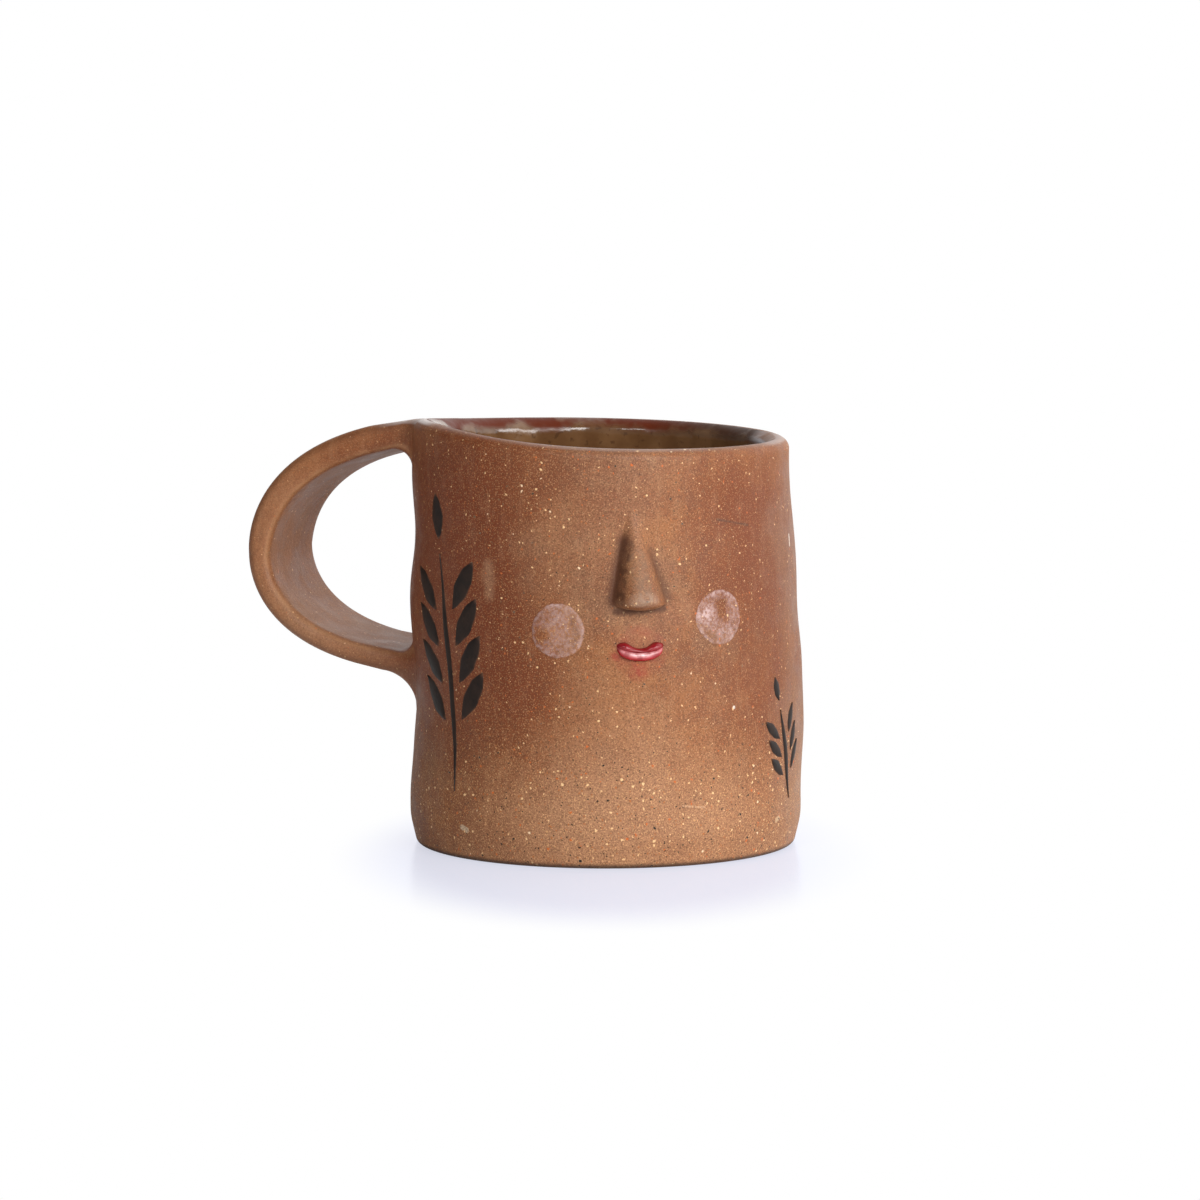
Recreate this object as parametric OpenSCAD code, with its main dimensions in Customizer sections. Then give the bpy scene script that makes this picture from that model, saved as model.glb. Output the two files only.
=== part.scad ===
// Hand-built stoneware mug with a strap handle and a small face in relief.
// Millimetres. The mug stands on z = 0, its axis is the z axis, and the handle points along -x.

/* [Wall] */
// Height of the rim where it runs level
body_height = 87.8; // [75:0.1:120]
// Outside diameter of the wall at the foot
foot_dia = 84.4; // [74:0.2:100]
// Outside diameter of the wall at the rim
rim_dia = 80.6; // [72:0.2:100]
// Thickness of the wall slab
wall_thick = 4.6; // [3.5:0.1:7]
// How far the rim swells up on the face's side of the handle
rim_swell = 2.6; // [0:0.1:4]
// How far the rim tilts up toward the handle
rim_tilt = 0.8; // [0:0.1:3]
// Height of the rounding along the rim
rim_round = 2.2; // [1:0.1:4]
// How far the hand-built wall sways out of true
wall_sway = 1.1; // [0:0.1:2]
// Depth of the deepest mark left by the potter's hands
mark_depth = 1.1; // [0:0.1:1.5]

/* [Floor] */
// Thickness of the floor slab
floor_thick = 6; // [4:0.5:10]
// Slope of the foot's side, in degrees from upright
foot_slope = 14; // [0:1:25]
// Radius of the rounding under the foot
foot_round = 1.2; // [0.4:0.1:3]
// Radius of the clay coil pressed into the inside corner
coil_round = 4; // [2:0.5:8]

/* [Handle] */
// Room for the fingers between the wall and the strap
finger_room = 31; // [22:0.5:45]
// Width of the strap
strap_width = 28; // [14:0.5:32]
// Thickness of the strap at the rim
strap_top = 6; // [4:0.1:9]
// Thickness of the strap at its farthest point
strap_side = 5; // [3.5:0.1:8]
// Thickness of the strap at its lower end
strap_low = 4.6; // [3:0.1:7]
// Height of the strap's lower end
strap_low_z = 38.3; // [28:0.5:50]
// Radius of the strap's edges
strap_edge = 2.1; // [0.5:0.1:2.4]
// Fillet under the upper end of the strap
upper_fillet = 5; // [2:0.5:6]
// Fillet under the lower end of the strap
lower_fillet = 8; // [3:0.5:9]
// Fillet beside the lower end of the strap
side_fillet = 3.5; // [1:0.5:4]
// Fillet beside the upper end of the strap
upper_side_fillet = 2.5; // [0.5:0.5:3]

/* [Face] */
// Direction of the face, in degrees about the axis from the side opposite the handle
face_turn = -61.5; // [-110:0.5:110]
// Length of the nose
nose_length = 20.4; // [12:0.5:26]
// Width of the nose at its wings
nose_width = 12.6; // [8:0.2:16]
// How far the tip of the nose stands out
nose_depth = 6.4; // [3:0.2:9]
// Height of the nose's lower end
nose_z = 54.2; // [50:0.2:58]
// How far the wings of the nose rise above its tip
nose_wings = 1.3; // [0:0.1:3]
// How far the bridge of the nose lies to the left of its tip
nose_lean = 1.4; // [0:0.1:3]
// Width of the mouth
mouth_width = 10; // [7:0.2:15]
// Height of the line between the lips at its middle
mouth_z = 45.45; // [42:0.05:47]
// Height of the upper lip at its peaks
upper_lip_height = 1.65; // [1:0.05:2.5]
// Height of the lower lip at its middle
lower_lip_height = 1.85; // [1:0.05:3]
// How far the lips stand out
lip_depth = 1.5; // [0.8:0.1:3]
// Diameter of the cheek dots
cheek_dia = 11.6; // [7:0.2:15]
// Distance round the wall from the nose to the middle of each cheek
cheek_offset = 17.8; // [14:0.2:24]
// Height of the left cheek's middle
left_cheek_z = 49.8; // [40:0.5:60]
// Height of the right cheek's middle
right_cheek_z = 52; // [40:0.5:60]

/* [Sprigs] */
// Length of the large sprig's stem
large_stem = 50; // [30:1:60]
// Length of the large sprig's leaves
large_leaf = 12; // [6:0.5:14]
// Length of the small sprig's stem
small_stem = 20; // [14:1:40]
// Length of the small sprig's leaves
small_leaf = 6.5; // [4:0.5:9]

/* [Coats and joins] */
// Thickness of the glaze inside
glaze_thick = 0.4; // [0.2:0.05:0.8]
// Thickness of the painted slip
slip_thick = 0.25; // [0.15:0.05:0.5]
// Gap at the joins between pieces
join_gap = 0.05; // [0.05:0.01:0.1]

/* [Hidden] */

foot_r = foot_dia / 2;
rim_r = rim_dia / 2;
// Radius used to turn a distance round the wall into an angle
arc_r = (foot_r + rim_r) / 2;
handle_angle = 180;

// Middle and spread of the rim's swell, in degrees
rim_swell_angle = handle_angle + 34;
rim_swell_spread = 43;
// The wall is true up to the coil, and takes up its sway over this height
sway_run = 16;
sway_dir = 17;
// Degrees of the sway's wave over the height of the body
sway_wave = 300;
// Marks left by the potter's hands: angle, height as a share of the body's, depth as a share of the
// deepest (above 0 for a bulge), spread in degrees, spread in height as a share of the body's
hand_marks = [
    [200, 0.56, 1, 24, 0.125],
    [202, 0.76, -0.64, 18, 0.09],
    [252, 0.75, -0.45, 16, 0.16],
    [272, 0.4, -0.36, 20, 0.1],
    [322, 0.8, -0.36, 14, 0.09],
    [60, 0.68, 0.45, 30, 0.18],
    [95, 0.34, -0.45, 26, 0.16],
    [130, 0.7, -0.36, 24, 0.14],
    [18, 0.72, 0.5, 30, 0.1],
    [198, 0.25, 0.4, 26, 0.08]
];

// Facets round the wall and levels up its outside, its rim and its inside
wall_sides = 72;
outer_levels = 12;
rim_steps = 6;
inner_levels = 9;
liner_sides = 48;
coil_steps = 4;

// Shares of the handle's reach and drop that set how full its bow is
root_pull = 0.93;
side_pull = 0.2;
// The farthest point of the bow, as a share of the way up from the lower end
bow_share = 0.46;
strap_fall = 7;
strap_rise = 4;
// How far the strap's top lies under the crest of the rim
rim_drop = 0.25;
strap_crown = 0.3;
inner_fillet = 3.5;
// The strap's last stretch where it meets the rim without a fillet
crest_run = 2;
// Plain strap left between the curve's first ring and the fillets
root_margin = 2;
edge_step = 22.5;
// The most of the strap's thickness that one edge's rounding takes
edge_share = 0.45;
bow_rings = 13;
fillet_rings = 4;
// Rows across each end face of the strap, so that it follows the wall
end_rows = 8;
// Above 1, it sets the upper end's rows closer at the outer edge, where the rim is rounded
crest_lean = 1.5;
// The strap's ends stand off a little more than the other joins, as their facets are larger
root_gap = 5 * join_gap;

// The thinnest edge left on an applied piece
edge_thick = 0.12;
smile = 1.2;
lip_gap = 0.1;

large_sprig_angle = 239;
large_sprig_z = 14.5;
large_lean = 7;
large_pairs = 4;
small_sprig_angle = 356;
small_sprig_z = 11.5;
small_lean = 14;
small_pairs = 3;
stem_half = 0.9;
leaf_open = 38;

clay = "#8d5c40";
pale_clay = "#96694a";
dark_clay = "#7f5139";
glaze_brown = "#4e3a26";
lip_red = "#a3202f";
dark_lip_red = "#8a1828";
cheek_pink = "#c9a596";
slip_black = "#2f2723";

function mix(a, b, t) = a + (b - a) * t;
function clamp01(t) = min(max(t, 0), 1);
function smooth(t) = let (c = clamp01(t)) c * c * (3 - 2 * c);
function bell(x) = exp(-x * x);
function wrap(a) = (a + 900) % 360 - 180;
function total(v) = v * [for (i = v) 1];

// Height of the rim's crest at angle a
function rim_z(a) =
    body_height + rim_tilt * cos(a - handle_angle)
    + rim_swell * bell(wrap(a - rim_swell_angle) / rim_swell_spread);

function hand_mark(m, a, t) = mark_depth * m[2] * bell(wrap(a - m[0]) / m[3]) * bell((t - m[1]) / m[4]);

// Outside radius of the wall at angle a and height z
function wall_r(a, z) =
    let (
        t = z / body_height,
        settle = smooth((z - floor_thick - coil_round) / sway_run),
        sway = wall_sway * sin(sway_wave * t) * cos(a - sway_dir)
    )
    mix(foot_r, rim_r, t) + settle * (sway + total([for (m = hand_marks) hand_mark(m, a, t)]));

// The same, with the rounding of the rim
function skin_r(a, z) =
    let (edge = rim_z(a) - rim_round, s = clamp01((z - edge) / rim_round))
    wall_r(a, min(z, edge)) - wall_thick / 2 * (1 - sqrt(1 - s * s));

function polar(a, r, z) = [r * cos(a), r * sin(a), z];

// Height of a level on the inside of the wall, from the rim's edge (k = 0) down to the top of the coil
function inner_z(a, k) = mix(rim_z(a) - rim_round, floor_thick + coil_round, k / (inner_levels - 1));

// Point off the inside of the cup, from the rim's edge (k = 0) down and round the coil to the floor
function cup_point(a, k, off) =
    let (
        bend = floor_thick + coil_round,
        z = inner_z(a, min(k, inner_levels - 1)),
        beta = 90 * max(k - inner_levels + 1, 0) / coil_steps,
        round = coil_round - off,
        r = wall_r(a, z) - wall_thick - off - round * (1 - cos(beta))
    )
    polar(a, r, k < inner_levels ? z : bend - round * sin(beta));

// Faces between rings of n points, and from the last ring back to the first where closed
function ring_faces(rings, n, closed) = [
    for (k = [0 : rings - (closed ? 1 : 2)], i = [0 : n - 1])
        let (
            j = (i + 1) % n,
            up = (k + 1) % rings * n,
            a = k * n + i,
            b = k * n + j,
            c = up + j,
            d = up + i
        )
        each [[a, c, b], [a, d, c]]
];

// Faces of a patch: a front and a back grid, and the edge between them
function patch_faces(rows, cols) =
    let (
        back = rows * cols,
        edge = concat(
            [for (c = [0 : cols - 2]) c],
            [for (r = [0 : rows - 2]) r * cols + cols - 1],
            [for (c = [cols - 1 : -1 : 1]) (rows - 1) * cols + c],
            [for (r = [rows - 1 : -1 : 1]) r * cols]
        )
    )
    concat(
        [for (r = [0 : rows - 2], c = [0 : cols - 2])
            let (a = r * cols + c, b = a + 1, d = a + cols, e = d + 1)
            each [[a, e, b], [a, d, e], [a + back, b + back, e + back], [a + back, e + back, d + back]]],
        [for (i = [0 : len(edge) - 1])
            let (p = edge[i], q = edge[(i + 1) % len(edge)])
            each [[p, q, q + back], [p, q + back, p + back]]]
    );

// Clay or slip laid on the wall about one angle. form(x, y), with x and y from -1 to 1, gives the distance
// round the wall, the height and how far the piece stands out there.
module on_wall(angle, form, cols, rows) {
    cells = [for (r = [0 : rows - 1], c = [0 : cols - 1])
        form(2 * c / (cols - 1) - 1, 2 * r / (rows - 1) - 1)];
    turns = [for (p = cells) angle + p.x / arc_r * 180 / PI];
    places = [for (i = [0 : len(cells) - 1]) skin_r(turns[i], cells[i].y) + join_gap];
    front = [for (i = [0 : len(cells) - 1])
        polar(turns[i], places[i] + max(cells[i].z, edge_thick), cells[i].y)];
    back = [for (i = [0 : len(cells) - 1]) polar(turns[i], places[i], cells[i].y)];
    polyhedron(concat(front, back), patch_faces(rows, cols), convexity = 4);
}

// Wall: a slab rolled into a cylinder, with a rounded rim
module wall_slab() {
    function section(a) =
        let (edge = rim_z(a) - rim_round, mid = wall_r(a, edge) - wall_thick / 2)
        concat(
            [for (k = [0 : outer_levels])
                let (z = mix(floor_thick, edge, k / outer_levels)) polar(a, wall_r(a, z), z)],
            [for (k = [1 : rim_steps - 1])
                let (b = 180 * k / rim_steps)
                polar(a, mid + wall_thick / 2 * cos(b), edge + rim_round * sin(b))],
            [for (z = [for (k = [0 : inner_levels - 1]) inner_z(a, k), floor_thick])
                polar(a, wall_r(a, z) - wall_thick, z)]
        );
    sections = [for (i = [0 : wall_sides - 1]) section(360 * i / wall_sides)];
    rings = len(sections[0]);
    points = [for (k = [0 : rings - 1], s = sections) s[k]];
    color(clay) polyhedron(points, ring_faces(rings, wall_sides, true), convexity = 6);
}

// Floor: a disc whose side slopes in to a rounded foot
module floor_slab() {
    top_r = wall_r(0, floor_thick);
    side_run = floor_thick - foot_round * (1 - sin(foot_slope));
    round_r = top_r - foot_round * cos(foot_slope) - tan(foot_slope) * side_run;
    color(dark_clay) rotate_extrude($fn = 96) {
        polygon([
            [0, 0],
            [round_r, 0],
            [round_r + foot_round * cos(foot_slope), foot_round * (1 - sin(foot_slope))],
            [top_r, floor_thick],
            [0, floor_thick]
        ]);
        translate([round_r, foot_round]) circle(foot_round);
    }
}

// Coil pressed into the inside corner, hollowed by the thumb. Its outer side leans with the wall.
module seam_coil() {
    inset = wall_thick + join_gap;
    low_r = wall_r(0, floor_thick) - inset;
    top_r = wall_r(0, floor_thick + coil_round) - inset;
    hollow_r = top_r - coil_round;
    color(dark_clay) translate([0, 0, floor_thick]) rotate_extrude($fn = 96) difference() {
        polygon([[hollow_r, 0], [low_r, 0], [top_r, coil_round], [hollow_r, coil_round]]);
        translate([hollow_r, coil_round]) circle(coil_round);
    }
}

// Glaze: a thin coat over the inside of the wall, the coil and the floor
module liner_glaze() {
    last = inner_levels + coil_steps - 1;
    coat = [
        for (k = [last : -1 : 0]) [k, join_gap],
        for (k = [0 : last]) [k, join_gap + (k == 0 ? edge_thick : glaze_thick)]
    ];
    rings = [for (c = coat, i = [0 : liner_sides - 1]) cup_point(360 * i / liner_sides, c[0], c[1])];
    low = len(rings);
    first_top = low - liner_sides;
    caps = [for (i = [0 : liner_sides - 1])
        let (j = (i + 1) % liner_sides)
        each [[low, i, j], [low + 1, first_top + j, first_top + i]]];
    poles = [[0, 0, floor_thick + join_gap], [0, 0, floor_thick + join_gap + glaze_thick]];
    color(glaze_brown) polyhedron(concat(rings, poles),
        concat(ring_faces(len(coat), liner_sides, false), caps), convexity = 6);
}

// The strap's middle line: a bow in the xz plane, in two curves that meet at its farthest point
upper_end_z = rim_z(handle_angle) - rim_drop - strap_top / 2;
upper_end = [-wall_r(handle_angle, upper_end_z), upper_end_z];
lower_end = [-wall_r(handle_angle, strap_low_z), strap_low_z];
bow = [-arc_r - finger_room - strap_side / 2, mix(strap_low_z, upper_end_z, bow_share)];
upper_reach = upper_end.x - bow.x;
lower_reach = lower_end.x - bow.x;
upper_out = [-cos(strap_fall), -sin(strap_fall)];
lower_out = [-cos(strap_rise), sin(strap_rise)];
upper_curve = [
    upper_end,
    upper_end + root_pull * upper_reach * upper_out,
    bow + [0, side_pull * (upper_end.y - bow.y)],
    bow
];
lower_curve = [
    bow,
    bow - [0, side_pull * (bow.y - lower_end.y)],
    lower_end + root_pull * lower_reach * lower_out,
    lower_end
];

function curve_point(c, t) =
    let (s = 1 - t)
    s * s * s * c[0] + 3 * s * s * t * c[1] + 3 * s * t * t * c[2] + t * t * t * c[3];
function curve_dir(c, t) =
    let (s = 1 - t, d = s * s * (c[1] - c[0]) + 2 * s * t * (c[2] - c[1]) + t * t * (c[3] - c[2]))
    d / norm(d);

// Share of a curve that lies about this far from its end on the wall. A quarter is added because a curve
// slows as it leaves its end.
function curve_share(run, reach) = 1.25 * run / (3 * root_pull * reach);

// One side of the strap's section as columns across its width: place, half thickness and edge angle
function strap_columns(thick) =
    let (
        edge = min(strap_edge, thick * edge_share),
        flat_half = strap_width / 2 - edge,
        rise = thick / 2 - edge
    )
    concat(
        [for (b = [0 : edge_step : 90]) [-flat_half - edge * cos(b), rise + edge * sin(b), 180 - b]],
        [for (f = [-0.75 : 0.25 : 0.75]) [f * flat_half, thick / 2 + strap_crown * (1 - f * f), 90]],
        [for (b = [90 : -edge_step : 0]) [flat_half + edge * cos(b), rise + edge * sin(b), b]]
    );

// The whole section: the outer face, then the inner face back, as width, thickness and edge angle
function strap_section(thick) =
    let (cols = strap_columns(thick), n = len(cols))
    concat(
        cols,
        [for (i = [n - 1 : -1 : 0]) [cols[i][0], -min(cols[i][1], thick / 2), -cols[i][2]]]
    );

// How far the rim at a place across the strap lies above the rim at the strap's middle
function rim_step(w) = rim_z(handle_angle - asin(w / rim_r)) - rim_z(handle_angle);

// A ring of the strap. Its upper end follows the rim by the share that follow gives.
function strap_ring(mid, dir, thick, follow) = [
    for (p = strap_section(thick))
        [mid.x + dir.y * p[1], p[0], mid.y - dir.x * p[1] + follow * rim_step(p[0])]
];

// A point moved along dir until it lies on the wall
function seat(p, dir, near, far, tries = 16) =
    let (m = (near + far) / 2, q = p + dir * m, a = atan2(q.y, q.x))
    tries == 0 ? q
    : norm([q.x, q.y]) > skin_r(a, q.z) ? seat(p, dir, m, far, tries - 1)
    : seat(p, dir, near, m, tries - 1);

// A ring of the fillet at one end of the strap, from its start (beta = 0) to the wall (beta = 90)
function root_ring(mid, out, sign, thick, fillets, side, follow, beta) = [
    for (p = strap_section(thick))
        let (
            face = p[1] > 0 ? fillets[0] : fillets[1],
            side_run = (max(fillets[0], crest_run) + fillets[1]) / 2,
            run = mix(side_run, max(face, crest_run), pow(sin(p[2]), 2)),
            grow = 1 - cos(beta),
            w = p[0] + side * grow * cos(p[2]),
            h = p[1] + face * grow * sin(p[2]),
            start = [mid.x + sign * out.y * h, w, mid.y - sign * out.x * h + follow * rim_step(w)],
            crest = rim_z(atan2(start.y, start.x)) - rim_drop,
            dir = [-out.x, 0, -out.y],
            on_skin = seat([start.x, start.y, min(start.z, crest)], dir, -12, 12)
        )
        on_skin - dir * (run * (1 - sin(beta)) + root_gap)
];

// Points inside a strap's end face, in rows from its outer edge to its inner edge
function end_points(ring, out, lean) = [
    for (k = [1 : end_rows], i = [1 : len(ring) / 2 - 2])
        let (
            dir = [-out.x, 0, -out.y],
            p = mix(ring[i], ring[len(ring) - 1 - i], pow(k / (end_rows + 1), lean))
        )
        seat(p, dir, -12, 12) - dir * root_gap
];

// Number of a point in an end face, for a ring of n points from first and rows of points from inner. The
// two end columns have no points of their own between the ring's.
function end_index(row, i, n, first, inner) =
    let (at_end = i == 0 || i == n / 2 - 1)
    row == 0 || at_end && row <= end_rows / 2 ? first + i
    : row > end_rows || at_end ? first + n - 1 - i
    : inner + (row - 1) * (n / 2 - 2) + i - 1;
function end_faces(n, first, inner) = [
    for (row = [0 : end_rows], i = [0 : n / 2 - 2])
        let (
            a = end_index(row, i, n, first, inner),
            b = end_index(row, i + 1, n, first, inner),
            c = end_index(row + 1, i + 1, n, first, inner),
            d = end_index(row + 1, i, n, first, inner)
        )
        for (f = [[a, b, c], [a, c, d]])
            if (f[0] != f[2] && f[1] != f[2]) f
];

// Handle: a strap that lands level with the rim and is smoothed on to the wall at both ends
module handle_strap() {
    upper_fillets = [0, upper_fillet];
    lower_fillets = [lower_fillet, inner_fillet];
    upper_start = curve_share(upper_fillet + root_margin, upper_reach);
    lower_start = curve_share(lower_fillet + root_margin, lower_reach);
    betas = [for (k = [0 : fillet_rings]) 90 * k / fillet_rings];
    rings = concat(
        [for (k = [fillet_rings : -1 : 0])
            root_ring(upper_end, upper_out, 1, strap_top, upper_fillets, upper_side_fillet, 1, betas[k])],
        [for (k = [0 : bow_rings])
            let (t = mix(upper_start, 1, k / bow_rings))
            strap_ring(curve_point(upper_curve, t), curve_dir(upper_curve, t),
                mix(strap_top, strap_side, pow(t, 3)), pow(1 - t, 3))],
        [for (k = [1 : bow_rings])
            let (t = (1 - lower_start) * k / bow_rings)
            strap_ring(curve_point(lower_curve, t), curve_dir(lower_curve, t),
                mix(strap_side, strap_low, smooth(t)), 0)],
        [for (b = betas)
            root_ring(lower_end, lower_out, -1, strap_low, lower_fillets, side_fillet, 0, b)]
    );
    n = len(rings[0]);
    last = len(rings) - 1;
    upper_face = end_points(rings[0], upper_out, crest_lean);
    lower_face = end_points(rings[last], lower_out, 1);
    points = [for (r = rings) each r];
    upper_inner = len(points);
    lower_inner = upper_inner + len(upper_face);
    faces = concat(
        ring_faces(len(rings), n, false),
        end_faces(n, 0, upper_inner),
        [for (f = end_faces(n, last * n, lower_inner)) [f[2], f[1], f[0]]]
    );
    color(pale_clay) polyhedron(concat(points, upper_face, lower_face), faces, convexity = 6);
}

// Nose: a wedge of clay, thin at the bridge and rounded at the tip
module nose() {
    // Share of the length that rounds under at the tip, and the bridge's width as a share of the wings'
    tip_share = 0.12;
    bridge_share = 0.2;
    // The ridge is rounded at the bridge and flatter at the tip
    bridge_power = 2;
    tip_power = 3.2;
    form = function (x, y)
        let (
            q = 1 - pow((y + 1) / 2, 1.6),
            half = nose_width / 2 * mix(bridge_share, 1, pow(q, 0.75)),
            tip = max(q - 1 + tip_share, 0) / tip_share,
            ridge = nose_depth * pow(q, 0.95) * sqrt(max(1 - tip * tip, 0)),
            flank = pow(1 - pow(abs(x), mix(bridge_power, tip_power, q)), 2),
            lift = nose_wings * x * x * pow(q, 4)
        )
        [x * half - nose_lean * (1 - q), nose_z + (1 - q) * nose_length + lift, ridge * flank];
    color(clay) on_wall(face_turn, form, 17, 15);
}

function mouth_line(x) = mouth_z + smile * x * x;

// A lip: a roll of clay from the line of the mouth, on the side that sign gives, to its own far edge
module lip(sign, far_edge) {
    // Where across the lip it stands out most, and how far its roll runs on past the line of the mouth
    crest = 0.35;
    past = 0.6;
    full = max([for (x = [-1 : 0.1 : 1]) far_edge(x)]);
    form = function (x, y)
        let (
            high = far_edge(x),
            way = (sign * y + 1) / 2,
            roll = way > crest ? (way - crest) / (1 - crest) : (crest - way) / past,
            dome = sqrt(1 - 0.98 * roll * roll),
            plump = lip_depth * sqrt(high / full) * (1 - 0.95 * pow(x, 8))
        )
        [x * mouth_width / 2, mouth_line(x) + sign * (lip_gap / 2 + high * way), plump * dome];
    on_wall(face_turn, form, 17, 9);
}

module upper_lip() {
    peaks = function (x)
        upper_lip_height * (0.5 + 0.5 * bell((abs(x) - 0.62) / 0.3)) * sqrt(1 - 0.96 * pow(x, 8));
    color(dark_lip_red) lip(1, peaks);
}

module lower_lip() {
    fullness = function (x) lower_lip_height * sqrt(1 - 0.94 * pow(abs(x), 5));
    color(lip_red) lip(-1, fullness);
}

// A dab of slip: a round dot that thins at its edge
module cheek(offset, z) {
    r = cheek_dia / 2;
    form = function (x, y)
        let (u = x * sqrt(1 - y * y / 2), v = y * sqrt(1 - x * x / 2), edge = max(abs(x), abs(y)))
        [offset + r * u, z + r * v, slip_thick * (1 - pow(edge, 6))];
    color(cheek_pink) on_wall(face_turn, form, 11, 11);
}

module left_cheek() {
    cheek(-cheek_offset, left_cheek_z);
}

module right_cheek() {
    cheek(cheek_offset, right_cheek_z);
}

// One stroke of the brush: from a place on the wall, along a direction, widest at its middle
module stroke(angle, place, dir, length, half_width) {
    form = function (x, y)
        let (
            s = (y + 1) / 2,
            w = x * max(half_width * pow(sin(180 * s), 0.75), edge_thick)
        )
        [
            place.x + length * s * cos(dir) + w * sin(dir),
            place.y + length * s * sin(dir) - w * cos(dir),
            slip_thick * (1 - x * x)
        ];
    on_wall(angle, form, 3, 9);
}

// A sprig: a stem with pairs of plain leaves and one leaf at its top, each its own stroke
module sprig(angle, z, lean, stem, leaf, pairs) {
    up = 90 + lean;
    leaf_half = leaf / 5.5;
    clear = stem_half + leaf_half;
    stroke(angle, [0, z], up, stem, stem_half);
    for (i = [0 : pairs - 1], side = [-1, 1]) {
        along = stem * (0.3 + 0.62 * i / pairs);
        root = [along * cos(up) + side * clear * sin(up), z + along * sin(up) - side * clear * cos(up)];
        stroke(angle, root, up - side * leaf_open, leaf, leaf_half);
    }
    stroke(angle, [(stem + clear) * cos(up), z + (stem + clear) * sin(up)], up, leaf * 0.8, leaf_half);
}

module left_sprig() {
    color(slip_black)
        sprig(large_sprig_angle, large_sprig_z, large_lean, large_stem, large_leaf, large_pairs);
}

module right_sprig() {
    color(slip_black)
        sprig(small_sprig_angle, small_sprig_z, small_lean, small_stem, small_leaf, small_pairs);
}

wall_slab();
floor_slab();
seam_coil();
handle_strap();
nose();
upper_lip();
lower_lip();
liner_glaze();
left_cheek();
right_cheek();
left_sprig();
right_sprig();
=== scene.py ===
import math

import bpy
import numpy as np
from mathutils import Matrix, Vector


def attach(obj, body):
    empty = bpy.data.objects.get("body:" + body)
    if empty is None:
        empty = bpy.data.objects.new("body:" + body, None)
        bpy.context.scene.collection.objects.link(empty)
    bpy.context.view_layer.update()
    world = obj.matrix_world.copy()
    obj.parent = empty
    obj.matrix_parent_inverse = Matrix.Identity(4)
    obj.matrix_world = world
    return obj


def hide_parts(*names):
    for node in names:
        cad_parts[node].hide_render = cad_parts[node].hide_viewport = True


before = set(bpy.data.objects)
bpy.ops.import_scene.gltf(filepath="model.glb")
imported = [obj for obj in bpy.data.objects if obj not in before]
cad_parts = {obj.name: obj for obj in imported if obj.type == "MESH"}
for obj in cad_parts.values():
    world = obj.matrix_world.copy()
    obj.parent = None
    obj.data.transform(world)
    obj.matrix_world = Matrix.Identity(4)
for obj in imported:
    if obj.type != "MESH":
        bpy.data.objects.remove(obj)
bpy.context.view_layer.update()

# Sizes are in millimetres and angles in degrees, as in the part's source
MM = 0.001
BODY_HEIGHT = 87.79
FOOT_R = 42.2
RIM_R = 40.3
WALL_THICK = 4.6
RIM_SWELL = 2.6
RIM_TILT = 0.8
RIM_ROUND = 2.2
WALL_SWAY = 1.1
MARK_DEPTH = 1.1
FLOOR_THICK = 6.0
FOOT_SLOPE = 14.0
FOOT_ROUND = 1.2
COIL_ROUND = 4.0
HANDLE_ANGLE = 180.0
RIM_SWELL_ANGLE = HANDLE_ANGLE + 34
RIM_SWELL_SPREAD = 43
# The wall is true up to the coil, and takes up its sway over this height
SWAY_RUN = 16
SWAY_DIR = 17
# Degrees of the sway's wave over the height of the body
SWAY_WAVE = 300
# How softly the wall bends into the foot's sloping side
FOOT_BEND = 0.4
# Distances round the wall are measured on this radius
ARC_R = (FOOT_R + RIM_R) / 2
# The potter's hand marks: angle, height and depth as shares, spread in degrees and in height
HAND_MARKS = [
    (200, 0.56, 1, 24, 0.125), (202, 0.76, -0.64, 18, 0.09), (252, 0.75, -0.45, 16, 0.16),
    (272, 0.4, -0.36, 20, 0.1), (322, 0.8, -0.36, 14, 0.09), (60, 0.68, 0.45, 30, 0.18),
    (95, 0.34, -0.45, 26, 0.16), (130, 0.7, -0.36, 24, 0.14), (18, 0.72, 0.5, 30, 0.1),
    (198, 0.25, 0.4, 26, 0.08),
]
# Fine lumps: share, waves round the wall, degrees of wave per millimetre up it, start
LUMPS = [(1.0, 5, 9, 20), (0.8, 9, -13, 75), (0.7, 4, -21, 160), (0.5, 14, 26, 200), (0.5, 23, 6, 0)]
LUMP_DEPTH = 0.05
FACE_TURN = -61.5
# How far a piece on the wall is sunk in it, so that no slit shows at its edge
SINK = 0.04
# Faces that meet at more than this keep a sharp edge
SHARP_ANGLE = 60


def mix(a, b, t):
    return a + (b - a) * t


def smooth(t):
    c = np.clip(t, 0, 1)
    return c * c * (3 - 2 * c)


def bell(x):
    return np.exp(-x * x)


def wrap(a):
    return (a + 900) % 360 - 180


def cosd(a):
    return np.cos(np.radians(a))


def sind(a):
    return np.sin(np.radians(a))


def angle_of(points):
    return np.degrees(np.arctan2(points[:, 1], points[:, 0]))


def rim_z(a):
    swell = RIM_SWELL * bell(wrap(a - RIM_SWELL_ANGLE) / RIM_SWELL_SPREAD)
    return BODY_HEIGHT + RIM_TILT * cosd(a - HANDLE_ANGLE) + swell


def lumps(a, z):
    """Fine unevenness of the slab, which only ever takes clay away."""
    waves = sum(share * sind(count * a + rise * z + start) for share, count, rise, start in LUMPS)
    return LUMP_DEPTH * (waves - sum(lump[0] for lump in LUMPS))


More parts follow.
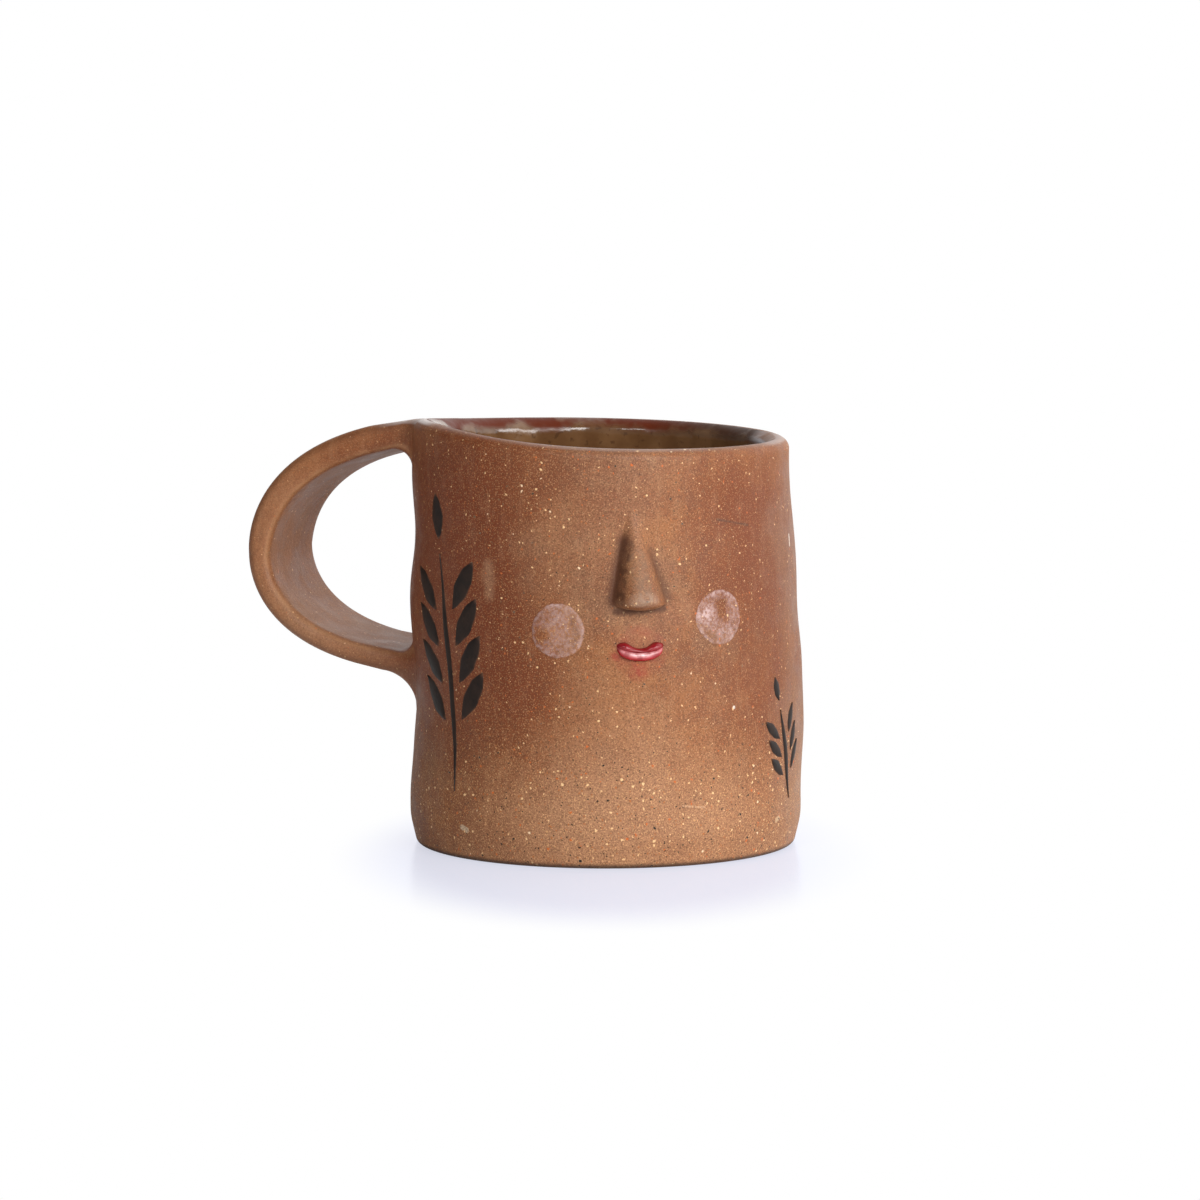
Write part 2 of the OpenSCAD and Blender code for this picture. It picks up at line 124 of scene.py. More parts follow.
def wall_r(a, z):
    """Outside radius of the wall, as in the part's source but for the fine lumps."""
    t = z / BODY_HEIGHT
    settle = smooth((z - FLOOR_THICK - COIL_ROUND) / SWAY_RUN)
    sway = WALL_SWAY * sind(SWAY_WAVE * t) * cosd(a - SWAY_DIR)
    marks = sum(depth * bell(wrap(a - angle) / across) * bell((t - height) / up)
                for angle, height, depth, across, up in HAND_MARKS)
    return mix(FOOT_R, RIM_R, t) + settle * (sway + MARK_DEPTH * marks + lumps(a, z))


def body_r(a, z):
    """The wall's outside with the soft bend into the foot's sloping side."""
    top = wall_r(a, z)
    corner = mix(FOOT_R, RIM_R, FLOOR_THICK / BODY_HEIGHT)
    side = corner + math.tan(math.radians(FOOT_SLOPE)) * (z - FLOOR_THICK)
    return (top + side - np.sqrt((top - side) ** 2 + FOOT_BEND * FOOT_BEND)) / 2


def skin_r(a, z):
    """The outside of the wall with the rounding of the rim."""
    edge = rim_z(a) - RIM_ROUND
    s = np.clip((z - edge) / RIM_ROUND, 0, 1)
    return wall_r(a, np.minimum(z, edge)) - WALL_THICK / 2 * (1 - np.sqrt(1 - s * s))


def polar(a, r, z):
    return np.stack([r * cosd(a), r * sind(a), z + 0 * r], -1)


def on_body(angle, height):
    """A point of the wall's outside, or of the foot's sloping side."""
    r = float(body_r(np.array(angle), np.array(height)))
    return (r * cosd(angle), r * sind(angle), height)


def on_face(x, z, out=0):
    """A point a distance x round from the middle of the face, at height z, out from the wall."""
    a = FACE_TURN + math.degrees(x / ARC_R)
    r = float(skin_r(np.array(a), np.array(z))) + out
    return (r * cosd(a), r * sind(a), z)


def add_object(name, data):
    made = bpy.data.objects.new(name, data)
    bpy.context.scene.collection.objects.link(made)
    return made


def make_piece(name, points, faces, node, material, values=()):
    """A smooth piece that stands for one CAD node, with values for each point."""
    mesh = bpy.data.meshes.new(name)
    mesh.from_pydata((np.asarray(points).reshape(-1, 3) * MM).tolist(), [], faces)
    mesh.validate()
    mesh.shade_smooth()
    mesh.set_sharp_from_angle(angle=math.radians(SHARP_ANGLE))
    for key, value in dict(values).items():
        attribute = mesh.attributes.new(key, "FLOAT", "POINT")
        attribute.data.foreach_set("value", np.asarray(value, np.float32).ravel())
    piece = add_object(name, mesh)
    mesh.materials.append(material)
    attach(piece, "root")
    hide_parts(node)


def ring_faces(rings, n, closed=False, skip=None):
    """Faces between rings of n points; closed joins the last to the first, skip leaves out a band."""
    faces = []
    for k in range(rings if closed else rings - 1):
        if k == skip:
            continue
        up = (k + 1) % rings * n
        for i in range(n):
            j = (i + 1) % n
            faces.append((k * n + i, k * n + j, up + j, up + i))
    return faces


# Materials

class Graph:
    """A short way to add nodes and links to a material or world."""

    def __init__(self, owner):
        owner.use_nodes = True
        self.owner = owner
        self.tree = owner.node_tree
        self.tree.nodes.clear()

    def add(self, kind, inputs=(), **settings):
        node = self.tree.nodes.new(kind)
        for key, value in settings.items():
            setattr(node, key, value)
        for key, value in dict(inputs).items():
            if isinstance(value, bpy.types.NodeSocket):
                self.tree.links.new(value, node.inputs[key])
            else:
                node.inputs[key].default_value = value
        return node

    def coords(self):
        return self.add("ShaderNodeTexCoord").outputs["Object"]

    def attribute(self, name):
        return self.add("ShaderNodeAttribute", attribute_name=name).outputs["Fac"]

    def math(self, operation, a, b=None, clamp=False):
        inputs = {0: a} if b is None else {0: a, 1: b}
        return self.add("ShaderNodeMath", inputs, operation=operation, use_clamp=clamp).outputs[0]

    def plus(self, a, b):
        return self.math("ADD", a, b)

    def minus(self, a, b, clamp=False):
        return self.math("SUBTRACT", a, b, clamp)

    def times(self, a, b, clamp=False):
        return self.math("MULTIPLY", a, b, clamp)

    def most(self, values):
        found = values[0]
        for value in values[1:]:
            found = self.math("MAXIMUM", found, value)
        return found

    def vector(self, operation, a, b):
        """Vector maths that gives a vector."""
        second = "Scale" if operation == "SCALE" else 1
        return self.add("ShaderNodeVectorMath", {0: a, second: b}, operation=operation).outputs[0]

    def measure(self, operation, a, b):
        """Vector maths that gives a number."""
        return self.add("ShaderNodeVectorMath", {0: a, 1: b}, operation=operation).outputs["Value"]

    def ramp(self, value, low, high, to_low=0, to_high=1):
        """A smooth change from to_low, where the value is low, to to_high, where it is high."""
        inputs = {"Value": value, "From Min": low, "From Max": high, "To Min": to_low, "To Max": to_high}
        return self.add("ShaderNodeMapRange", inputs, interpolation_type="SMOOTHSTEP").outputs[0]

    def blend(self, factor, a, b):
        """Colour a where the factor is 0, and colour b where it is 1."""
        node = self.add("ShaderNodeMix", {0: factor, 6: a, 7: b}, data_type="RGBA", clamp_factor=True)
        return node.outputs[2]

    def noise(self, coords, layer, output="Fac"):
        """A layer of noise, given as its waves per metre, its detail and its roughness."""
        scale, detail, roughness = layer
        inputs = {"Vector": coords, "Scale": scale, "Detail": detail, "Roughness": roughness}
        return self.add("ShaderNodeTexNoise", inputs).outputs[output]

    def bump(self, height, strength, depth, normal=None):
        """Relief up to a depth in millimetres, over the relief that normal already holds."""
        inputs = {"Height": height, "Strength": strength, "Distance": depth * MM}
        if normal is not None:
            inputs["Normal"] = normal
        return self.add("ShaderNodeBump", inputs).outputs[0]

    def spot(self, coords, centre, radius, soft):
        """1 inside a ball about centre, falling to 0 over soft; all in millimetres."""
        away = self.measure("DISTANCE", coords, Vector(centre) * MM)
        return self.ramp(away, (radius + soft) * MM, radius * MM)

    def streak(self, coords, start, end, radius, soft):
        """1 near the line from start to end, falling to 0 over soft; all in millimetres."""
        run = (Vector(end) - Vector(start)) * MM
        offset = self.vector("SUBTRACT", coords, Vector(start) * MM)
        along = self.measure("DOT_PRODUCT", offset, run / run.length_squared)
        nearest = self.vector("SCALE", run, self.times(along, 1, clamp=True))
        away = self.measure("DISTANCE", offset, nearest)
        return self.ramp(away, (radius + soft) * MM, radius * MM)

    def finish(self, shader):
        self.add("ShaderNodeOutputMaterial", {"Surface": shader})
        return self.owner

    def surface(self, color, rough, normal, **more):
        inputs = {"Base Color": color, "Roughness": rough, "Normal": normal}
        inputs.update({key.replace("_", " "): value for key, value in more.items()})
        return self.finish(self.add("ShaderNodeBsdfPrincipled", inputs).outputs[0])


def srgb(r, g, b):
    """A colour as seen on a screen, from 0 to 255, in the linear values that shaders take."""
    def channel(c):
        c = c / 255
        return c / 12.92 if c <= 0.04045 else ((c + 0.055) / 1.055) ** 2.4
    return (channel(r), channel(g), channel(b), 1)


# Layers of noise: waves per metre, detail, roughness
BROAD = (30, 3, 0.5)
STRAY = (60, 4, 0.5)
BLOOM = (70, 4, 0.65)
MOTTLE = (170, 4, 0.65)
WIPED = (420, 4, 0.65)
SMEAR = (420, 3, 0.5)
NOSE_BREAKUP = (500, 4, 0.7)
GRAIN_WARP = (1500, 2, 0.5)
GRAIN = (2600, 3, 0.7)
FLECKS = (3800, 2, 0.5)
GLAZE_POOLS = (38, 2, 0.5)
GLAZE_FLOW = (120, 3, 0.5)
GLAZE_FRECKLE = (700, 2, 0.5)
LIP_PATCH = (600, 3, 0.5)
DAB_PATCH = (260, 3, 0.6)
DAB_SPECKLE = (1300, 3, 0.7)
BRUSH_STREAK = (300, 4, 0.6)
BRUSH_GRAIN = (1500, 2, 0.5)
# Marks of wiping are drawn out up the wall: their scale along each axis
WIPE_SCALE = (1, 1, 0.3)
# How far the outlines of patches and of grains wander, in metres
STRAY_REACH = 0.026
WARP_REACH = 0.0007

# Colours of the clay
CLAY_DARK = srgb(132, 73, 39)
CLAY_LIGHT = srgb(163, 104, 62)
CLAY_BLOOM = srgb(136, 102, 76)
CLAY_RED_AND_SHADE = srgb(119, 53, 21)
CLAY_PALE_AND_LIT = srgb(183, 133, 97)
CLAY_DUSTY_AND_SHEEN = srgb(156, 121, 96)
STRAP_LIT = srgb(184, 134, 98)
WIPE_PALE = srgb(190, 144, 110)
GRAIN_DARK = srgb(86, 52, 32)
FLECK_BRIGHT = srgb(226, 172, 120)
CREST_WORN_AND_SHEEN = srgb(132, 100, 82)
FILM_HIGHLIGHT_WHITE = srgb(216, 203, 198)
EDGE_RUBBED_AND_LIT = srgb(200, 150, 108)
EDGE_DARK = srgb(110, 68, 44)
NOSE_SHADE_DARK = srgb(84, 48, 30)
FOOT_SHADE = srgb(58, 40, 32)
MOUTH_RED = srgb(160, 44, 40)
# How dark the strap's outer edges are, and how white the film of glaze and its painted highlight are
EDGE_SHADE = 0.45
FILM_COVER = 0.85

# Patches that fired redder, are pale or are dusty, among them painted shade, light and sheen: angle,
# height, radius, softness, strength
# By the handle, on the left of the body, the redder patches also stand in for painted shade
RED_AND_SHADE_PATCHES = [
    (215, 60, 18, 26, 1), (238, 68, 14, 18, 0.9), (240, 36, 8, 20, 0.8), (345, 66, 10, 19, 0.9),
    (258, 44, 5, 16, 0.6), (350, 34, 6, 16, 0.6), (318, 80, 4, 10, 0.25), (276, 26, 3, 14, 0.4),
    (290, 80, 4, 12, 0.3), (262, 75, 4, 10, 0.45), (342, 10, 4, 12, 0.2), (120, 50, 18, 22, 0.8),
    (60, 30, 12, 18, 0.6),
]
# Most pale patches sit low on the body, where they are painted light thrown up from the floor
PALE_AND_LIT_PATCHES = [
    (262, 0, 8, 24, 0.42), (290, 0, 14, 26, 0.7), (322, 0, 10, 24, 0.4), (286, 0, 6, 9, 0.7),
    (290, 26, 6, 14, 0.25), (306, 55, 3, 9, 0.3), (251.5, 60, 0.6, 4, 0.35), (20, 6, 14, 18, 0.25),
    (100, 4, 14, 18, 0.5), (190, 2, 10, 14, 0.4),
]
# The dusty patches at the right edge of the body, at angle 6, are a painted sheen
DUSTY_AND_SHEEN_PATCHES = [
    (288, 86, 7, 16, 0.22), (286, 63, 6, 12, 0.26), (6, 62, 8, 12, 0.4), (6, 22, 9, 14, 0.45),
    (80, 70, 10, 14, 0.3), (150, 40, 10, 14, 0.3),
]
# Painted light on the strap, lightening its bow and its lower root: centre, radius, softness, strength
STRAP_LIT_SPOTS = [((-72, 0, 55), 22, 12, 0.25), ((-58, -8, 36), 12, 12, 0.4)]
# Marks of use, and one painted glint: from one angle and height to another, or round, radius, softness,
# colour
MARKS = [
    ((328.1, 32.9), None, 0.3, 0.12, srgb(236, 222, 208)),
    ((242.5, 7.1), (244.5, 6.6), 0.45, 0.25, srgb(214, 190, 160)),
    ((347.8, 7.4), (349.5, 7.9), 0.4, 0.25, srgb(206, 170, 132)),
    ((324.6, 72.3), (337, 70.6), 0.12, 0.3, srgb(96, 58, 40)),
    ((251.4, 62.8), (251.8, 56.6), 0.2, 2, srgb(153, 104, 75)),
    ((311, 13), (318, 12.4), 0.1, 0.25, srgb(206, 160, 122)),
    # A painted glint on the right edge of the body
    ((4.6, 66.8), (4.2, 64.8), 0.25, 0.3, srgb(236, 224, 212)),
]
# Films of glaze on the crest of the rim, painted white as highlights: angle, height, radius, softness,
# strength
FILMS_AND_HIGHLIGHTS = [(204, 90, 7, 7, 0.85), (12, 87, 8, 10, 0.35), (290, 87, 12, 14, 0.15)]
# Layers of grog: cells per metre, largest radius in cells, and each kind's starting share and colour
GROG = [
    (1900, 0.38, ((0.6, srgb(178, 108, 60)), (0.8, srgb(204, 154, 104)), (0.88, srgb(60, 39, 28)))),
    (1000, 0.28, ((0.5, srgb(202, 106, 50)), (0.66, srgb(240, 200, 146)), (0.93, srgb(40, 29, 24)))),
    (480, 0.15, ((0.6, srgb(206, 104, 46)), (0.72, srgb(244, 216, 176)), (0.92, srgb(34, 25, 21)))),
]
# At the foot more of the cells hold grains, and the grains are larger
FOOT_MORE = 0.05
FOOT_LARGER = 1 / 3

# Painted shade in the creases about the nose and a painted shadow under its tip: from, to, radius,
# softness, strength
NOSE_SHADE_LINES = [
    (on_face(-3, 68.6), on_face(-5.4, 56.4), 0.4, 2.2, 0.85),
    (on_face(1.6, 66), on_face(5.8, 56.6), 0.3, 1.8, 0.6),
    (on_face(-5, 53.9), on_face(5, 54.5), 0.3, 0.9, 0.75),
]
# Painted shade on the nose's dark side and greyer front, and a painted highlight on its pale tip: from,
# to, radius, softness, strength, colour
NOSE_SHADE_AND_HIGHLIGHT = [
    (on_face(-2.8, 67.6, 0.8), on_face(-4.4, 57, 2.2), 0.9, 1.3, 0.85, srgb(80, 47, 28)),
    (on_face(0.2, 58, 6), on_face(-0.6, 65, 3.6), 1.6, 1.6, 0.55, srgb(130, 101, 78)),
    (on_face(-1.8, 56.6, 5.6), on_face(2.6, 56.8, 5.6), 0.5, 1.8, 0.42, srgb(184, 156, 134)),
]
# Red that the brush left about the mouth: centre, radius, softness, strength
MOUTH_SMEARS = [
    (on_face(-0.4, 41.6), 0.8, 2.2, 0.45),
    (on_face(-5.4, 44.6), 0.4, 1.4, 0.5),
    (on_face(0, 45.4), 4.4, 2, 0.3),
]
# The foot's edge is painted darker as shade up to this height, and fully below the second
FOOT_SHADE_TOP = 1.4
FOOT_SHADE_FULL = 0.4
# Bare clay is less shiny than a glaze
CLAY_SHINE = 0.36


def clay_patches(g, coords, color, ragged):
    """The clay's colour with its larger patches and its marks of use, some of them painted light and
    shade.
    """
    stray = g.vector("SUBTRACT", g.noise(coords, STRAY, "Color"), (0.5, 0.5, 0.5))
    strayed = g.vector("ADD", coords, g.vector("SCALE", stray, STRAY_REACH))
    for patches, tint in ((RED_AND_SHADE_PATCHES, CLAY_RED_AND_SHADE), (PALE_AND_LIT_PATCHES, CLAY_PALE_AND_LIT), (DUSTY_AND_SHEEN_PATCHES, CLAY_DUSTY_AND_SHEEN)):
        for angle, height, radius, soft, strength in patches:
            mask = g.times(g.spot(strayed, on_body(angle, height), radius, soft), ragged)
            color = g.blend(g.times(mask, strength), color, tint)
    # Painted light on the strap
    for *ball, strength in STRAP_LIT_SPOTS:
        color = g.blend(g.times(g.spot(coords, *ball), strength), color, STRAP_LIT)
    for start, end, radius, soft, tint in MARKS:
        if end is None:
            mask = g.spot(coords, on_body(*start), radius, soft)
        else:
            mask = g.times(g.streak(coords, on_body(*start), on_body(*end), radius, soft), ragged)
        color = g.blend(mask, color, tint)
    return color


def clay_grains(g, coords, color, coarse, extra):
    """The clay's colour with its grog, cut to uneven shapes, and where the grains are."""
    warp = g.vector("SCALE", g.noise(coords, GRAIN_WARP, "Color"), WARP_REACH)
    cut = g.vector("ADD", coords, warp)
    larger = g.plus(g.times(extra, FOOT_LARGER), 1)
    layers = []
    for scale, radius, kinds in GROG:
        cells = g.add("ShaderNodeTexVoronoi", {"Vector": cut, "Scale": scale})
        pick = g.add("ShaderNodeSeparateColor", {0: cells.outputs["Color"]})
        size = g.times(pick.outputs[1], g.times(larger, radius))
        dot = g.times(g.ramp(g.math("DIVIDE", cells.outputs["Distance"], size), 1, 0.7), coarse)
        for share, tint in kinds:
            least = g.minus(share, g.times(extra, FOOT_MORE))
            color = g.blend(g.times(dot, g.math("GREATER_THAN", pick.outputs[0], least)), color, tint)
        layers.append(g.times(dot, g.math("GREATER_THAN", pick.outputs[0], kinds[0][0])))
    return color, g.most(layers)


def clay_layers(g, coords):
    """Colour, roughness and bump of the bare clay, as sockets."""
    # Above 0 where fewer grains show, and below 0 where more do
    plain = g.attribute("plain")
    coarse = g.minus(1, plain, clamp=True)
    extra = g.times(plain, -1, clamp=True)
    broad = g.noise(coords, BROAD)
    mottle = g.noise(coords, MOTTLE)
    wiped = g.noise(g.vector("MULTIPLY", coords, WIPE_SCALE), WIPED)
    grain = g.noise(coords, GRAIN)
    tone = g.plus(g.plus(g.times(broad, 0.45), g.times(mottle, 0.4)), g.times(wiped, 0.15))
    color = g.blend(g.ramp(tone, 0.4, 0.6), CLAY_DARK, CLAY_LIGHT)
    color = g.blend(g.ramp(g.noise(coords, BLOOM), 0.46, 0.66, 0, 0.4), color, CLAY_BLOOM)
    color = clay_patches(g, coords, color, g.ramp(tone, 0.35, 0.6, 0.7, 1))
    color = g.blend(g.ramp(wiped, 0.5, 0.7, 0, 0.12), color, WIPE_PALE)
    color = g.blend(g.times(g.ramp(grain, 0.44, 0.62, 0, 0.55), coarse), color, GRAIN_DARK)
    flecks = g.ramp(g.noise(coords, FLECKS), 0.54, 0.66, 0, 0.36)
    color = g.blend(g.times(g.plus(coarse, extra), flecks), color, FLECK_BRIGHT)
    color, grains = clay_grains(g, coords, color, coarse, extra)
    # The crest of the rim is rubbed paler and smoother, the paler colour in part a painted sheen, and a
    # film of glaze lies on it in places, painted white as a highlight
    crest = g.attribute("crest")
    color = g.blend(g.times(crest, g.ramp(mottle, 0.35, 0.6, 0.05, 0.4)), color, CREST_WORN_AND_SHEEN)
    film_and_highlight = g.most([g.times(g.spot(coords, on_body(angle, height), radius, soft), strength)
                   for angle, height, radius, soft, strength in FILMS_AND_HIGHLIGHTS])
    film_and_highlight = g.times(film_and_highlight, g.ramp(crest, 0.1, 0.8))
    film_and_highlight = g.times(film_and_highlight, g.ramp(mottle, 0.3, 0.6, 0.5, 1))
    color = g.blend(g.times(film_and_highlight, FILM_COVER), color, FILM_HIGHLIGHT_WHITE)
    # The strap's edges: rubbed pale along the inside, partly as a painted highlight, darker along the
    # outside
    rub_and_light = g.attribute("rub_and_light")
    rubbed_and_lit = g.times(rub_and_light, g.ramp(mottle, 0.35, 0.6, 0.15, 0.45), clamp=True)
    color = g.blend(rubbed_and_lit, color, EDGE_RUBBED_AND_LIT)
    color = g.blend(g.times(rub_and_light, -EDGE_SHADE, clamp=True), color, EDGE_DARK)
    rough = g.ramp(mottle, 0.3, 0.7, 0.44, 0.6)
    for smoother, share in ((crest, 0.06), (grains, 0.12), (film_and_highlight, 0.22)):
        rough = g.minus(rough, g.times(smoother, share))
    normal = g.bump(mottle, 0.4, 0.4)
    normal = g.bump(wiped, 0.3, 0.25, normal)
    normal = g.bump(grain, 0.4, 0.1, normal)
    normal = g.bump(grains, 0.5, 0.06, normal)
    return color, rough, normal


def clay_material():
    g = Graph(bpy.data.materials.new("clay"))
    coords = g.coords()
    color, rough, normal = clay_layers(g, coords)
    # Painted shade along the nose's creases and under its tip
    for *line, strength in NOSE_SHADE_LINES:
        color = g.blend(g.times(g.streak(coords, *line), strength), color, NOSE_SHADE_DARK)
    # Painted shade and a painted highlight on the nose, broken up by noise
    nose_breakup = g.ramp(g.noise(coords, NOSE_BREAKUP), 0.36, 0.6, 0.2, 1)
    for *line, strength, tint in NOSE_SHADE_AND_HIGHLIGHT:
        color = g.blend(g.times(g.streak(coords, *line), g.times(nose_breakup, strength)), color, tint)
    height = g.add("ShaderNodeSeparateXYZ", {0: coords}).outputs[2]
    # Painted shade along the foot's edge, where it meets the floor
    color = g.blend(g.ramp(height, FOOT_SHADE_TOP * MM, FOOT_SHADE_FULL * MM, 0, 0.8), color, FOOT_SHADE)
    smear = g.noise(coords, SMEAR)
    for *ball, strength in MOUTH_SMEARS:
        mask = g.times(g.spot(coords, *ball), g.ramp(smear, 0.4, 0.65, 0.1, strength))
        color = g.blend(mask, color, MOUTH_RED)
    return g.surface(color, rough, normal, Specular_IOR_Level=CLAY_SHINE)


# Colours of the glaze inside
GLAZE_DARK = srgb(104, 71, 44)
GLAZE_LIGHT = srgb(126, 90, 58)
GLAZE_SPECK = srgb(64, 42, 26)
GLAZE_SHADED = srgb(58, 44, 36)
THIN_RED = srgb(100, 42, 22)
THIN_BROWN = srgb(78, 51, 37)
GLAZE_SHEEN_PALE = srgb(192, 183, 190)
GLAZE_BARE = srgb(152, 112, 90)
# Where the coat is darker as painted shade and its thin edge browner, and where it ends below the crest
# with a painted sheen below that: centre, radius, softness
SHADE_AND_BROWN_PLACE = (on_body(38, 80), 18, 20)
BALD_PLACE = (on_body(16, 87), 10, 9)


def glaze_material():
    g = Graph(bpy.data.materials.new("brown_glaze"))
    coords = g.coords()
    flow = g.noise(coords, GLAZE_FLOW)
    freckle = g.noise(coords, GLAZE_FRECKLE)
    pools = g.noise(coords, GLAZE_POOLS)
    # Millimetres below the crest of the rim
    deep = g.attribute("deep")
    color = g.blend(g.ramp(flow, 0.35, 0.65), GLAZE_DARK, GLAZE_LIGHT)
    color = g.blend(g.ramp(freckle, 0.6, 0.7, 0, 0.5), color, GLAZE_SPECK)
    # Thin over the rim, where the red clay shows through
    uneven = g.plus(g.ramp(flow, 0.3, 0.7, -1.4, 1.4), g.ramp(pools, 0.35, 0.65, -0.8, 0.8))
    thin = g.ramp(g.plus(deep, uneven), 2.7, 0.5)
    # Painted shade on the coat at the right of the inside, where its thin edge also turns brown
    shade_and_brown = g.spot(coords, *SHADE_AND_BROWN_PLACE)
    color = g.blend(g.times(shade_and_brown, 0.25), color, GLAZE_SHADED)
    color = g.blend(thin, color, g.blend(shade_and_brown, THIN_RED, THIN_BROWN))
    bald = g.spot(coords, *BALD_PLACE)
    # A pale painted sheen on the coat just below where it ends
    sheen_pale = g.times(bald, g.ramp(deep, 3.2, 2))
    color = g.blend(g.times(sheen_pale, 0.8), color, GLAZE_SHEEN_PALE)
    bare = g.times(bald, g.ramp(deep, 1.6, 1))
    color = g.blend(bare, color, GLAZE_BARE)
    dull = g.most([thin, bare])
    rough = g.plus(g.ramp(flow, 0.3, 0.7, 0.09, 0.19), g.times(dull, 0.3))
    shine = g.minus(0.85, g.times(dull, 0.75))
    normal = g.bump(flow, 0.45, 1.2)
    normal = g.bump(freckle, 0.2, 0.12, normal)
    return g.surface(color, rough, normal, IOR=1.52, Specular_IOR_Level=shine)


# Colours of the lips
LIP_DARK = srgb(156, 20, 30)
LIP_LIGHT = srgb(190, 36, 48)
LIP_EDGE = srgb(104, 20, 26)
LIP_SHADE = srgb(120, 18, 24)
LIP_HIGHLIGHT = srgb(246, 200, 200)


def red_material():
    g = Graph(bpy.data.materials.new("red_glaze"))
    patch = g.noise(g.coords(), LIP_PATCH)
    color = g.blend(g.ramp(patch, 0.35, 0.65), LIP_DARK, LIP_LIGHT)
    color = g.blend(g.ramp(g.attribute("edge"), 0.6, 1, 0, 0.75), color, LIP_EDGE)
    # Painted shade darkens the upper lip, and a painted highlight lies pale along the crest of the lower
    # lip
    rub_and_light = g.attribute("rub_and_light")
    color = g.blend(g.times(rub_and_light, -0.6, clamp=True), color, LIP_SHADE)
    color = g.blend(g.times(rub_and_light, g.ramp(patch, 0.36, 0.58, 0.4, 1), clamp=True), color, LIP_HIGHLIGHT)
    rough = g.ramp(patch, 0.3, 0.7, 0.12, 0.24)
    return g.surface(color, rough, g.bump(patch, 0.5, 0.18), IOR=1.58)


DAB_PINK = srgb(204, 172, 167)


def pink_material():
    """Thin slip, through which the clay shows."""
    g = Graph(bpy.data.materials.new("pink_slip"))
    coords = g.coords()
    color, rough, normal = clay_layers(g, coords)
    edge = g.attribute("edge")
    cover = g.plus(g.ramp(g.noise(coords, DAB_PATCH), 0.36, 0.64, 0.02, 0.24), g.attribute("dab"))
    cover = g.plus(cover, g.ramp(edge, 0.8, 0.93, 0, 0.22))
    cover = g.times(cover, g.ramp(g.noise(coords, DAB_SPECKLE), 0.38, 0.6, 0.25, 1.3))
    cover = g.times(cover, g.ramp(edge, 1, 0.95), clamp=True)
    color = g.blend(cover, color, DAB_PINK)
    return g.surface(color, rough, normal, Specular_IOR_Level=CLAY_SHINE)


# Colours of the brush strokes, and their shine
STROKE_DARK = srgb(30, 20, 15)
STROKE_LIGHT = srgb(48, 34, 27)
STROKE_EDGE = srgb(96, 62, 44)
STROKE_SHINE = 0.26


def dark_material():
    g = Graph(bpy.data.materials.new("dark_slip"))
    coords = g.coords()
    streak = g.noise(coords, BRUSH_STREAK)
    color = g.blend(g.ramp(streak, 0.35, 0.7), STROKE_DARK, STROKE_LIGHT)
    dry = g.times(g.ramp(g.attribute("edge"), 0.8, 1), g.ramp(streak, 0.35, 0.6))
    color = g.blend(dry, color, STROKE_EDGE)
    rough = g.ramp(streak, 0.3, 0.7, 0.46, 0.62)
    normal = g.bump(g.noise(coords, BRUSH_GRAIN), 0.4, 0.1)
    return g.surface(color, rough, normal, Specular_IOR_Level=STROKE_SHINE)


clay = clay_material()
brown_glaze = glaze_material()
red_glaze = red_material()
pink_slip = pink_material()
dark_slip = dark_material()

# Wall and floor
COLUMNS = 288
WALL_ROWS = 110
RIM_ROWS = 25
INSIDE_ROWS = 40
SIDE_ROWS = 16
FOOT_ROWS = 10
# The rim is worn where its rounding has come up to more than this share
CREST_FROM = 0.6
# Fewer grains show by the handle and past the face: angle, spread, strength
PLAIN_BY_HANDLE = (200, 42, 0.5)
PLAIN_PAST_FACE = (350, 30, 0.35)
# More of them show at the foot, fading out up to a height
FOOT_GRAIN = 0.9
FOOT_GRAIN_TOP = 36
FOOT_GRAIN_FADE = 26
# The floor closes on a small face, and its base has one more ring at a share of its radius
CENTRE_R = 0.4
BASE_RING = 0.6

turn = np.arange(COLUMNS) * 360.0 / COLUMNS
edge_z = rim_z(turn) - RIM_ROUND
rim_mid = wall_r(turn, edge_z) - WALL_THICK / 2


def plainness(z):
    """How far the grains are held back, all round the body at height z."""
    def side(angle, spread, strength):
        return strength * bell(wrap(turn - angle) / spread)
    low = smooth((FOOT_GRAIN_TOP - z) / FOOT_GRAIN_FADE)
    return side(*PLAIN_BY_HANDLE) + (1 - low) * side(*PLAIN_PAST_FACE) - FOOT_GRAIN * low


def make_wall():
    """The wall, from the foot's edge up its outside, over the rim and down its inside."""
    rings = []
    for t in np.linspace(0, 1, WALL_ROWS):
        z = mix(FLOOR_THICK, edge_z, t)
        rings.append(polar(turn, body_r(turn, z), z))
    crest = [0.0] * len(rings)
    for b in np.linspace(0, 180, RIM_ROWS)[1:-1]:
        rings.append(polar(turn, rim_mid + WALL_THICK / 2 * cosd(b), edge_z + RIM_ROUND * sind(b)))
        crest.append(float(smooth((sind(b) - CREST_FROM) / (1 - CREST_FROM))))
    for t in np.linspace(0, 1, INSIDE_ROWS):
        z = mix(edge_z, FLOOR_THICK, t)
        rings.append(polar(turn, wall_r(turn, z) - WALL_THICK, z))
    # The underside has points of its own, so that the shading doesn't bend round the corner
    inside_end = len(rings) - 1
    rings += [rings[-1], rings[0]]
    crest += [0.0] * (len(rings) - len(crest))
    faces = ring_faces(len(rings), COLUMNS, skip=inside_end)
    plain = np.concatenate([plainness(ring[:, 2]) for ring in rings])
    make_piece("wall", rings, faces, "wall_slab", clay,
               {"crest": np.repeat(crest, COLUMNS), "plain": plain})


